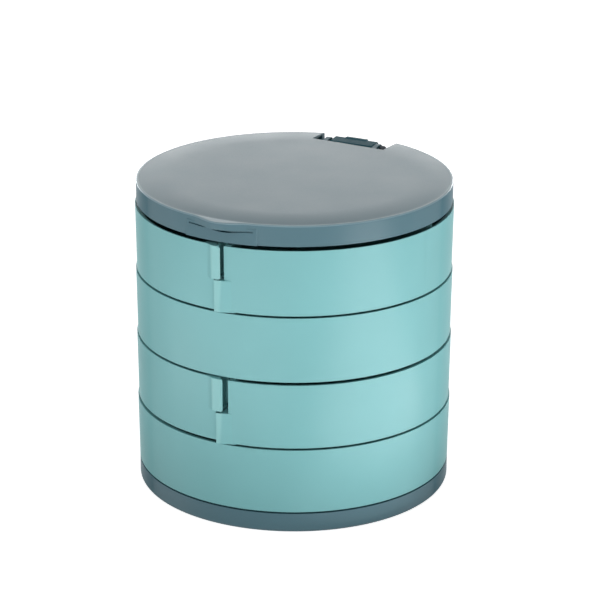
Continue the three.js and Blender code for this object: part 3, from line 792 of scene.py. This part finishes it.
def wing_rooms(side, foot, top, pocket):
    """The tools for a wing's two compartments, in front of its divider and behind it."""
    inner, outer = side * (HALF_SPLIT + WALL), side * BEYOND
    pocket_side = side * (pocket["width"] + WALL)
    pocket_back = -OUTER + pocket["depth"] + WALL
    front, rear = WING_DIVIDER - DIVIDER / 2, WING_DIVIDER + DIVIDER / 2
    middle = (pocket_back + front) / 2
    front_room = room(
        foot,
        top,
        ((inner, outer), (pocket_back, middle + OVER), SMALL_CORNER),
        ((inner, outer), (middle, front), CORNER),
        ((pocket_side, outer), (-BEYOND, middle), CORNER),
    )
    rear_room = room(
        foot,
        top,
        ((inner, outer), (rear, NOTCH_FRONT - WALL), CORNER),
        ((side * (BARREL_SIDE + WALL), outer), (rear, BEYOND), CORNER),
    )
    return front_room, rear_room


def pocket_tool(side, pocket):
    """The tool for the pocket that the other wing's tab lies in."""
    span = (side * (HALF_SPLIT - OVER), side * pocket["width"])
    return block("pocket", span, (-BEYOND, -OUTER + pocket["depth"]), (pocket["low"], pocket["high"]))


def overhang_tool(side, tab):
    """The tool that thins a tab from behind, where it reaches over the other wing."""
    span = (side * HALF_SPLIT, -side * (tab["edge"] + OVER))
    return block("thinned", span, (-OUTER - TAB_BACK, 0), (tab["low"] - OVER, tab["high"] + OVER))


def undercut_tool(side, tab):
    """The tool that clears the side of the slot, behind the tab beside it."""
    span = (side * (HALF_SPLIT + SLOT_UNDERCUT), 0)
    behind = (-OUTER + SLOT_UNDERCUT, -OUTER + SLOT_DEPTH)
    return block("undercut", span, behind, (tab["low"], tab["high"] + OVER))


def wing(node, body, side, tab, pocket, capped):
    """Half a tray with a barrel at the back and a finger tab and a pocket at the front."""
    low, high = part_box(node)
    foot, top = low.z, high.z
    beside = (foot - OVER, top + OVER)
    whole = tier_form(node + "_moulding", foot, top)
    keep(whole, block("half", (side * HALF_SPLIT, side * BEYOND), (-BEYOND, BEYOND), beside))
    cut(
        whole,
        block("post_side", (-side * OVER, side * BARREL_SIDE), (NOTCH_FRONT, BEYOND), beside),
        block("rear_side", (-side * OVER, side * PIVOT.x), (PIVOT.y, BEYOND), beside),
        swing_room(side, foot, top),
    )
    cut(whole, *wing_rooms(side, foot, top, pocket))
    join(whole, barrel(foot, top, side))
    cut(whole, rim_step(top, TOP_RIM_STEP if capped else RIM_STEP), pocket_tool(side, pocket))
    join(whole, finger(side, foot, top, **tab))
    cut(whole, overhang_tool(side, tab))
    if tab["creased"]:
        cut(whole, undercut_tool(side, tab))
    cut(whole, bore(foot, top, side))
    if capped:
        nut_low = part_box("right_cap_nut")[0]
        cut(whole, rod("seat", NUT_SEAT, nut_low.z - GAP, top + OVER, side * PIVOT.x, PIVOT.y))
    return finished(soften(whole), node, body, TEAL)


def make_wing_pair(level, edges, slot_width, capped):
    """The two wings of a tier: the left tab lies above, and the right tab below it."""
    left_foot, left_top = (corner.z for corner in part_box(f"{level}_left_wing"))
    right_foot, right_top = (corner.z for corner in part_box(f"{level}_right_wing"))
    split = right_foot + TIER * TAB_SPLIT_SHARE
    left_split = left_foot + TIER * TAB_SPLIT_SHARE + GAP
    left_edge, right_edge = edges
    left_tab = {
        "edge": left_edge,
        "flat_end": LEFT_FLAT,
        "ramp": LEFT_RAMP,
        "creased": True,
        "low": left_split,
        "high": left_top,
    }
    right_tab = {
        "edge": right_edge,
        "flat_end": RIGHT_FLAT,
        "ramp": RIGHT_RAMP,
        "creased": False,
        "low": right_foot,
        "high": split,
    }
    left_pocket = {
        "width": right_edge + GAP,
        "depth": WALL + GAP,
        "low": left_foot - OVER,
        "high": left_split,
    }
    right_pocket = {
        "width": left_edge + slot_width,
        "depth": SLOT_DEPTH,
        "low": split,
        "high": right_top + OVER,
    }
    wing(f"{level}_left_wing", f"{level}_left", -1, left_tab, left_pocket, capped)
    wing(f"{level}_right_wing", f"{level}_right", 1, right_tab, right_pocket, capped)


# Post, lid and base


def hinge_head(foot):
    """The head that holds the lid's pin, with a top that slopes to the front."""
    head = block("head", (POST_LOW.x, POST_HIGH.x), (HEAD_FRONT, HEAD_REAR), (foot, HEAD_TOP))
    front = corners_where(head, lambda place: place.z > HEAD_TOP - HAIR and place.y < HINGE.y)
    move_rows(head, [(front, (0, 0, -HEAD_SLOPE))])
    return bevel_edges(head, above(HEAD_TOP - HEAD_SLOPE), HEAD_ROUND, 5)


def hinge_shoulder(foot):
    """The shoulder behind the head, with a top that slopes to the rear."""
    top = SHOULDER_TOP + SHOULDER_RISE
    shoulder = block("shoulder", (POST_LOW.x, POST_HIGH.x), (HINGE.y, SHOULDER_REAR), (foot, top))
    rear = corners_where(shoulder, lambda place: place.z > SHOULDER_TOP + HAIR and place.y > HINGE.y + HAIR)
    return move_rows(shoulder, [(rear, (0, 0, -SHOULDER_RISE))])


def hinge_rib():
    """The rounded rib along the top of the head, which leans on its rear."""
    rib = block("rib", (-RIB_HALF, RIB_HALF), (RIB_FRONT, RIB_REAR), (HINGE.z, POST_HIGH.z))
    rear = corners_where(rib, lambda place: place.z < HINGE.z + HAIR and place.y > RIB_FRONT + HAIR)
    move_rows(rib, [(rear, (0, HEAD_REAR - RIB_REAR - GAP, 0))])
    return bevel_edges(rib, at_height(POST_HIGH.z), RIB_ROUND, 4)


def make_hinge_post():
    """The post from the base to the lid's pin, with a narrower foot that stands in the base pan."""
    wing_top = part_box("upper_right_wing")[1].z
    body_z = (BASE_TRAY_FOOT, wing_top + POST_PROUD)
    post = block("hinge_post_moulding", (-POST_HALF, POST_HALF), (POST_FRONT, BEYOND), body_z)
    keep(post, rod("round", POST_REAR, *body_z, sides=ROUND_SIDES))
    foot_y = (POST_FOOT_FRONT, POST_FOOT_REAR)
    foot_z = (POST_LOW.z, BASE_TRAY_FOOT + FLOOR)
    foot = block("foot", (-POST_FOOT_HALF, POST_FOOT_HALF), foot_y, foot_z)
    join(post, foot, hinge_head(wing_top), hinge_shoulder(wing_top), hinge_rib())
    bore_ends = (POST_LOW.x - OVER, *HINGE.yz), (POST_HIGH.x + OVER, *HINGE.yz)
    cut(post, cross_rod("pin_bore", PIN_BORE, *bore_ends))
    for node in POST_SCREWS:
        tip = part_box(node)[1].z
        cut(post, rod("pilot", SCREW_HOLE, POST_LOW.z - OVER, tip + GAP, *middle_of(node)))
    for node in TRAY_SCREWS:
        low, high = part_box(node)
        x, z = (low.x + high.x) / 2, (low.z + high.z) / 2
        cut(post, cross_rod("pilot", SCREW_HOLE, (x, POST_FRONT - OVER, z), (x, high.y + GAP, z)))
    return finished(soften(post), "hinge_post", "root", DARK_BLUE)


def lid_arm(side):
    """A hinge arm: the hull of a round end on the pin and a root in the lid's plate."""
    inner, outer = side * ARM_INNER, side * ARM_OUTER
    arm = cross_rod("arm", ARM_RADIUS, (inner, *HINGE.yz), (outer, *HINGE.yz))
    root_z = (LID_UNDER - LID_PLATE / 2, LID_HIGH.z - LID_PLATE / 2)
    root = block("root", (inner, outer), (ARM_ROOT, ARM_ROOT + OVER), root_z)
    shoulder = LID_HIGH.z - LID_PLATE / 4
    top = block("top", (inner, outer), (LID_NOTCH_FRONT - GAP, LID_NOTCH_FRONT), (LID_UNDER, shoulder))
    deselect()
    for part in (root, top, arm):
        part.select_set(True)
    bpy.context.view_layer.objects.active = arm
    bpy.ops.object.join()
    bpy.ops.object.mode_set(mode="EDIT")
    bpy.ops.mesh.select_all(action="SELECT")
    bpy.ops.mesh.convex_hull()
    bpy.ops.object.mode_set(mode="OBJECT")
    return arm


def lid_notch():
    """The tool for the notch at the back.

    Its front face slopes forward under the plate, and runs a little further forward at the right, beside
    the head of the pin.
    """
    low, high = LID_LOW.z - OVER, LID_HIGH.z + OVER
    tool = block("notch", (-LID_NOTCH_HALF, LID_NOTCH_HALF), (LID_NOTCH_FRONT, BEYOND), (low, high))
    take(tool)
    bpy.ops.object.mode_set(mode="EDIT")
    for height in (LID_UNDER, LID_HIGH.z):
        bpy.ops.mesh.select_all(action="SELECT")
        bpy.ops.mesh.bisect(plane_co=(0, 0, height), plane_no=(0, 0, 1))
    bpy.ops.object.mode_set(mode="OBJECT")
    face = LID_NOTCH_FRONT + HAIR
    lower = corners_where(tool, lambda place: place.z < LID_UNDER + HAIR and place.y < face)
    right = corners_where(tool, lambda place: place.x > 0 and place.y < face)
    return move_rows(tool, [(lower, (0, -LID_NOTCH_BEVEL, 0)), (right, (0, -LID_NOTCH_SKEW, 0))])


def notch_undercut():
    """The tool that thins the plate beside the notch, inside the skirt."""
    half = LID_NOTCH_HALF + NOTCH_UNDERCUT
    span_y = (LID_NOTCH_FRONT + NOTCH_UNDERCUT_FRONT, BEYOND)
    span_z = (LID_LOW.z - OVER, LID_HIGH.z - LID_CROWN - NOTCH_ROOF)
    tool = block("undercut", (-half, half), span_y, span_z)
    return keep(tool, rod("inside", LID_RADIUS - LID_WALL, *span_z, sides=ROUND_SIDES))


def crown():
    """The lid's low dome, raised in rings: steep at the edge and level towards the middle."""
    top = LID_HIGH.z - LID_CROWN - 2 * HAIR
    dome = rod("crown", LID_RADIUS - LID_EDGE - HAIR, LID_UNDER + HAIR, top, sides=ROUND_SIDES)
    with_nothing_selected(dome, "FACE")
    for face in dome.data.polygons:
        face.select = face.normal.z > 0.99
    bpy.ops.object.mode_set(mode="EDIT")
    for number in range(CROWN_RINGS):
        low, high = (1 - (1 - step / CROWN_RINGS) ** 2 for step in (number, number + 1))
        rise = (LID_CROWN + 2 * HAIR) * (high - low)
        bpy.ops.mesh.inset(thickness=CROWN_WIDTH / CROWN_RINGS, depth=rise)
    bpy.ops.object.mode_set(mode="OBJECT")
    return dome


def lip_swell(angle):
    if abs(angle) >= LIP_HALF_ANGLE:
        return 0
    return LIP_REACH * (1 + math.cos(math.pi * angle / LIP_HALF_ANGLE)) / 2


def lip_groove():
    """The tool for the thin groove that curves under the lip."""
    low, high = LIP_FOOT - LIP_GROOVE, LIP_FOOT
    tool = ring("groove", BEYOND, LID_RADIUS - LIP_GROOVE_DEPTH, low, high)
    reach = BEYOND * math.sin(LIP_HALF_ANGLE)
    keep(tool, block("span", (-reach, reach), (-2 * BEYOND, 0), (low - OVER, high + OVER)))
    return lower_front(tool, 0, lambda angle: LIP_GROOVE_DROP * lip_swell(angle))


def lid_plate():
    """The lid's plate, drawn out into the pull lip at the front."""
    top = LID_HIGH.z - LID_CROWN
    plate = rod("lid_moulding", LID_RADIUS, LIP_FOOT, top, sides=ROUND_SIDES)
    swell_front(plate, LID_RADIUS - OVER, lip_swell)
    return bevel_edges(plate, at_height(top), LID_EDGE, 5)


def lip_pad():
    """The low pad beneath the lip, thinner towards its top."""
    pad = upright("pad", LID_RADIUS + PAD_REACH, LID_RADIUS + PAD_TOP_REACH, LID_LOW.z, PAD_TOP)
    keep(pad, block("span", (-PAD_HALF, PAD_HALF), (-BEYOND, -LID_RADIUS / 2), (LID_LOW.z, PAD_TOP)))
    for side in (-PAD_HALF, PAD_HALF):
        bevel_edges(pad, front_edge_at(side), PAD_EDGE, 4)
    return pad


def mirror_rim():
    """The rim round the mirror, inside the lid."""
    y = ((MIRROR_LOW + MIRROR_HIGH) / 2).y
    low = MIRROR_LOW.z - RIM_BELOW
    rim = rod("rim", RIM_INNER + RIM_WALL, low, LID_UNDER + LID_PLATE / 2, 0, y, ROUND_SIDES)
    return cut(rim, rod("rim_room", RIM_INNER, low - OVER, LID_UNDER, 0, y, ROUND_SIDES))


def make_lid_shell():
    skirt = rod("skirt", LID_RADIUS, LID_LOW.z, LIP_FOOT + LID_EDGE, sides=ROUND_SIDES)
    shell = join(lid_plate(), skirt, lip_pad(), crown())
    step_low, step_high = LID_LOW.z - OVER, LID_LOW.z + SKIRT_STEP
    cut(shell, lip_groove(), ring("step", BEYOND, LID_RADIUS - REBATE_DEPTH, step_low, step_high))
    cut(shell, rod("hollow", LID_RADIUS - LID_WALL, LID_LOW.z - OVER, LID_UNDER, sides=ROUND_SIDES))
    join(shell, mirror_rim())
    relief_z = (LID_LOW.z - OVER, RELIEF_TOP)
    relief = block("relief", (-RELIEF_HALF, RELIEF_HALF), (ARM_ROOT, BEYOND), relief_z)
    cut(shell, lid_notch(), notch_undercut(), relief)
    join(shell, lid_arm(-1), lid_arm(1))
    bore_ends = (ARM_OUTER + OVER, *HINGE.yz), (-ARM_OUTER - OVER, *HINGE.yz)
    cut(shell, cross_rod("bore", PIN_BORE, *bore_ends))
    return finished(soften(shell), "lid_shell", "lid", GREY_BLUE)


def make_hinge_pin():
    """The lid's pin with its round head."""
    head_from = ARM_OUTER + GAP
    shank_end, pin_end = (head_from + GAP, *HINGE.yz), (PIN_HIGH.x, *HINGE.yz)
    pin = cross_rod("lid_pin_turned", PIN_RADIUS, (PIN_LOW.x, *HINGE.yz), shank_end)
    head = cross_rod("head", PIN_HIGH.z - HINGE.z, (head_from, *HINGE.yz), pin_end)
    bevel_edges(head, at_side(PIN_HIGH.x), PIN_HEAD_ROUND, 6)
    join(pin, head)
    return finished(soften(pin, SMALL_EDGE), "lid_hinge_pin", "root", PIN)


def make_mirror():
    y = (MIRROR_LOW.y + MIRROR_HIGH.y) / 2
    glass = rod("mirror_disc", MIRROR_HIGH.x, MIRROR_LOW.z, MIRROR_HIGH.z, 0, y, ROUND_SIDES)
    bevel_edges(glass, at_height(MIRROR_LOW.z), MIRROR_BEVEL, 1)
    return finished(soften(glass, SMALL_EDGE, 2), "lid_mirror", "lid", MIRROR)


def make_mirror_pad():
    low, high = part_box("mirror_pad")
    pad = rod("mirror_foam", high.x, low.z, high.z, 0, (low.y + high.y) / 2, ROUND_SIDES)
    return finished(soften(pad, SMALL_EDGE, 2), "mirror_pad", "lid", FOAM)


def sink_head(pan, node, head_radius, head_height, hole_radius):
    """Cuts the well for the head of a bolt or screw, and the hole for its shank."""
    x, y = middle_of(node)
    under = PAN_LOW.z - OVER
    cut(pan, rod("well", head_radius + GAP, under, HEAD_RECESS + head_height + GAP, x, y))
    return cut(pan, rod("hole", hole_radius, under, PAN_HIGH.z + OVER, x, y))


def make_base_pan():
    """A shallow dish with a standing rim and hub below, and wells for the heads of the bolts and screws."""
    low, high = PAN_LOW.z, PAN_HIGH.z
    pan = rod("base_pan_moulding", PAN_RADIUS, low, high, sides=ROUND_SIDES)
    bevel_edges(pan, at_height(low), PAN_ROUND, 6)
    cut(pan, rod("inside", PAN_RADIUS - PAN_WALL, PAN_FLOOR, high + OVER, sides=ROUND_SIDES))
    rim = PAN_RADIUS - PAN_RIM
    recess = upright("recess", rim + PAN_RECESS, rim - PAN_RECESS, -PAN_RECESS, PAN_RECESS)
    cut(recess, upright("hub", PAN_HUB - PAN_RECESS, PAN_HUB + PAN_RECESS, -PAN_RECESS, PAN_RECESS))
    cut(pan, recess)
    for node in PIVOT_BOLTS:
        join(pan, rod("boss", BOLT_HEAD + PAN_BOSS_WALL, PAN_RECESS, high, *middle_of(node)))
    for node in BASE_SCREWS:
        join(pan, rod("boss", SCREW_HEAD + PAN_BOSS_WALL, PAN_RECESS, PAN_BOSS_TOP, *middle_of(node)))
    foot_y = (POST_FOOT_FRONT, POST_FOOT_REAR)
    join(pan, block("pad", (-POST_FOOT_HALF, POST_FOOT_HALF), foot_y, (PAN_RECESS, POST_LOW.z - GAP)))
    room_x = (-POST_FOOT_HALF - GAP, POST_FOOT_HALF + GAP)
    room_y = (POST_FOOT_FRONT - GAP, POST_FOOT_REAR + GAP)
    cut(pan, block("foot_room", room_x, room_y, (POST_LOW.z - GAP, high + OVER)))
    for node in PIVOT_BOLTS:
        sink_head(pan, node, BOLT_HEAD, BOLT_HEAD_HEIGHT, BORE)
    for node in POST_SCREWS:
        sink_head(pan, node, SCREW_HEAD, SCREW_HEAD_HEIGHT, SCREW_HOLE)
    for node in BASE_SCREWS:
        cut(pan, rod("boss_room", TRAY_BOSS + GAP, PAN_BOSS_TOP, high + OVER, *middle_of(node)))
        sink_head(pan, node, SCREW_HEAD, SCREW_HEAD_HEIGHT, SCREW_HOLE)
    return finished(soften(pan), "base_pan", "root", GREY_BLUE)


# Fasteners


def cross_recess(x, y, face):
    """The tool for a cross recess in a screw head."""
    z = (face - CROSS_DEPTH, face + CROSS_DEPTH)

    def slot(half_x, half_y):
        return block("slot", (x - half_x, x + half_x), (y - half_y, y + half_y), z)

    return join(slot(CROSS_HALF, CROSS_SLOT), slot(CROSS_SLOT, CROSS_HALF))


def turned_screw(node, x, y, low, high, head_radius, head_height, shank_radius):
    """A pan-head screw that stands on its head, with a cross recess in it and a bevelled tip."""
    screw = rod(node + "_turned", head_radius, low, low + head_height, x, y)
    bevel_edges(screw, at_height(low), HEAD_CROWN, 5)
    shank = rod("shank", shank_radius, low + head_height / 2, high, x, y, SHANK_SIDES)
    bevel_edges(shank, at_height(high), TIP_BEVEL, 1)
    join(screw, shank)
    return cut(screw, cross_recess(x, y, low))


def finished_steel(piece, node):
    return finished(soften(piece, SMALL_EDGE, 2), node, "root", STEEL)


def upright_screw(node, head_radius, head_height, shank_radius):
    """A bolt or screw that is driven from below."""
    low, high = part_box(node)
    screw = turned_screw(node, *middle_of(node), low.z, high.z, head_radius, head_height, shank_radius)
    return finished_steel(screw, node)


def tray_screw(node):
    """A screw that lies along Y and holds the middle tray to the post."""
    low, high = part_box(node)
    screw = turned_screw(node, 0, 0, 0, high.y - low.y, SCREW_HEAD, SCREW_HEAD_HEIGHT, SHANK)
    screw.rotation_euler.x = -math.pi / 2
    screw.location = ((low.x + high.x) / 2, low.y, (low.z + high.z) / 2)
    return finished_steel(with_place_applied(screw), node)


def cap_nut(node):
    """A round cap nut with a crowned top and a slot for the driver."""
    low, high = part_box(node)
    x, y = middle_of(node)
    nut = rod(node + "_turned", NUT_SEAT - GAP, low.z, high.z, x, y)
    bevel_edges(nut, at_height(high.z), HEAD_CROWN, 5)
    cut(
        nut,
        rod("bore", BORE, low.z - OVER, high.z - NUT_ROOF, x, y),
        block(
            "slot",
            (x - NUT_SEAT, x + NUT_SEAT),
            (y - NUT_SLOT / 2, y + NUT_SLOT / 2),
            (high.z - NUT_SLOT_DEPTH, high.z + OVER),
        ),
    )
    return finished_steel(nut, node)


def make_fasteners():
    for bolt, screw, nut in zip(PIVOT_BOLTS, TRAY_SCREWS, CAP_NUTS):
        upright_screw(bolt, BOLT_HEAD, BOLT_HEAD_HEIGHT, BOLT_SHANK)
        tray_screw(screw)
        cap_nut(nut)
    for node in POST_SCREWS + BASE_SCREWS:
        upright_screw(node, SCREW_HEAD, SCREW_HEAD_HEIGHT, SHANK)


# Floor, light and camera


def seen_or_lit(nodes, links, seen, lit):
    """A strength that is `seen` for camera, mirror and glass rays and `lit` for the light on the object."""
    path = nodes.new("ShaderNodeLightPath")
    value = path.outputs["Is Camera Ray"]
    for ray in ("Is Glossy Ray", "Is Transmission Ray"):
        either = nodes.new("ShaderNodeMath")
        either.operation = "MAXIMUM"
        links.new(value, either.inputs[0])
        links.new(path.outputs[ray], either.inputs[1])
        value = either.outputs["Value"]
    strength = nodes.new("ShaderNodeMapRange")
    strength.inputs["To Min"].default_value = lit
    strength.inputs["To Max"].default_value = seen
    links.new(value, strength.inputs["Value"])
    return strength.outputs["Result"]


def make_world():
    world = bpy.data.worlds.new("white_studio")
    bpy.context.scene.world = world
    world.use_nodes = True
    nodes, links = world.node_tree.nodes, world.node_tree.links
    backdrop = nodes["Background"]
    backdrop.inputs["Color"].default_value = (1, 1, 1, 1)
    links.new(seen_or_lit(nodes, links, 1, WORLD_LIGHT), backdrop.inputs["Strength"])


def make_floor():
    deselect()
    bpy.ops.mesh.primitive_plane_add(size=FLOOR_SIZE, location=(0, 0, PAN_LOW.z))
    floor = settled("studio_floor")
    material = bpy.data.materials.new("white_paper")
    material.use_nodes = True
    nodes, links = material.node_tree.nodes, material.node_tree.links
    shader = nodes["Principled BSDF"]
    shader.inputs["Base Color"].default_value = (0.8, 0.8, 0.8, 1)
    shader.inputs["Roughness"].default_value = 0.9
    shader.inputs["Specular IOR Level"].default_value = 0.1
    shader.inputs["Emission Color"].default_value = (1, 1, 1, 1)
    links.new(seen_or_lit(nodes, links, FLOOR_GLOW, 0), shader.inputs["Emission Strength"])
    floor.data.materials.append(material)
    return floor


def around(azimuth, reach, height):
    """A place at an angle from the front, towards the right, and a distance from the box's axis."""
    turn = math.radians(azimuth)
    return Vector((reach * math.sin(turn), -reach * math.cos(turn), height))


def lamp(name, azimuth, reach, height, size, power):
    """A soft box light that points at the middle of the object."""
    place = around(azimuth, reach, height)
    deselect()
    bpy.ops.object.light_add(type="AREA", location=place)
    light = bpy.context.object
    light.name = name
    light.data.shape = "RECTANGLE"
    light.data.size, light.data.size_y = size
    light.data.energy = power
    light.rotation_euler = (Vector((0, 0, HINGE.z / 2)) - place).to_track_quat("-Z", "Y").to_euler()
    return light


def low_panel(name, azimuth, reach, size, power):
    """A soft panel that lies beside the object and shines up, for the long highlights on its side."""
    light = lamp(name, azimuth, reach, PANEL_HEIGHT, size, power)
    light.rotation_euler = (math.pi, 0, math.radians(azimuth))
    light.visible_camera = False
    return light


def make_lights():
    """Panels beside the object for its long highlights, then soft boxes round it and a strip above."""
    low_panel("low_panel_right", azimuth=76, reach=0.24, size=(0.16, 0.3), power=0.45)
    low_panel("near_panel", azimuth=57, reach=0.068, size=(0.07, 0.032), power=0.003)
    low_panel("low_panel_left", azimuth=-18, reach=0.25, size=(0.25, 0.28), power=0.3)
    lamp("low_box_front", azimuth=30, reach=0.9, height=0.14, size=(0.7, 0.24), power=1.95)
    lamp("soft_box_right", azimuth=86, reach=0.9, height=0.4, size=(0.45, 0.6), power=0.2)
    lamp("soft_box_front", azimuth=15, reach=1.1, height=0.85, size=(0.5, 0.5), power=1)
    lamp("soft_box_left", azimuth=-40, reach=0.95, height=0.4, size=(0.5, 0.6), power=0.5)
    lamp("strip_top", azimuth=27, reach=0.35, height=1.1, size=(2.4, 0.25), power=2)
    lamp("low_box_rear", azimuth=180, reach=0.9, height=0.05, size=(0.5, 0.08), power=2.1)
    lamp("low_box_rear_left", azimuth=235, reach=0.9, height=0.05, size=(0.5, 0.08), power=2.1)
    lamp("soft_box_rear", azimuth=207, reach=1.1, height=0.2, size=(1.4, 0.4), power=3.7)


def make_camera():
    """Stands where the photograph was taken from: 27 degrees to the right, looking 20 degrees down."""
    turn, tilt, roll = (math.radians(angle) for angle in CAMERA_TURNS)
    deselect()
    bpy.ops.object.camera_add(location=around(CAMERA_AZIMUTH, CAMERA_REACH, CAMERA_HEIGHT))
    camera = bpy.context.object
    camera.name = "photograph_view"
    rotation = Matrix.Rotation(turn, 4, "Z") @ Matrix.Rotation(tilt, 4, "X") @ Matrix.Rotation(roll, 4, "Z")
    camera.rotation_euler = rotation.to_euler()
    camera.data.sensor_width = CAMERA_SENSOR
    camera.data.lens = CAMERA_LENS
    camera.data.clip_start = CAMERA_CLIP
    bpy.context.scene.camera = camera


make_camera()
make_world()
make_floor()
make_lights()

make_base_pan()
make_base_tray()
make_wing_pair("lower", LOWER_EDGES, LOWER_SLOT, False)
make_middle_tray()
make_wing_pair("upper", UPPER_EDGES, UPPER_SLOT, True)
make_hinge_post()
make_lid_shell()
make_hinge_pin()
make_mirror_pad()
make_mirror()
make_fasteners()

bpy.context.scene.view_settings.view_transform = "Standard"
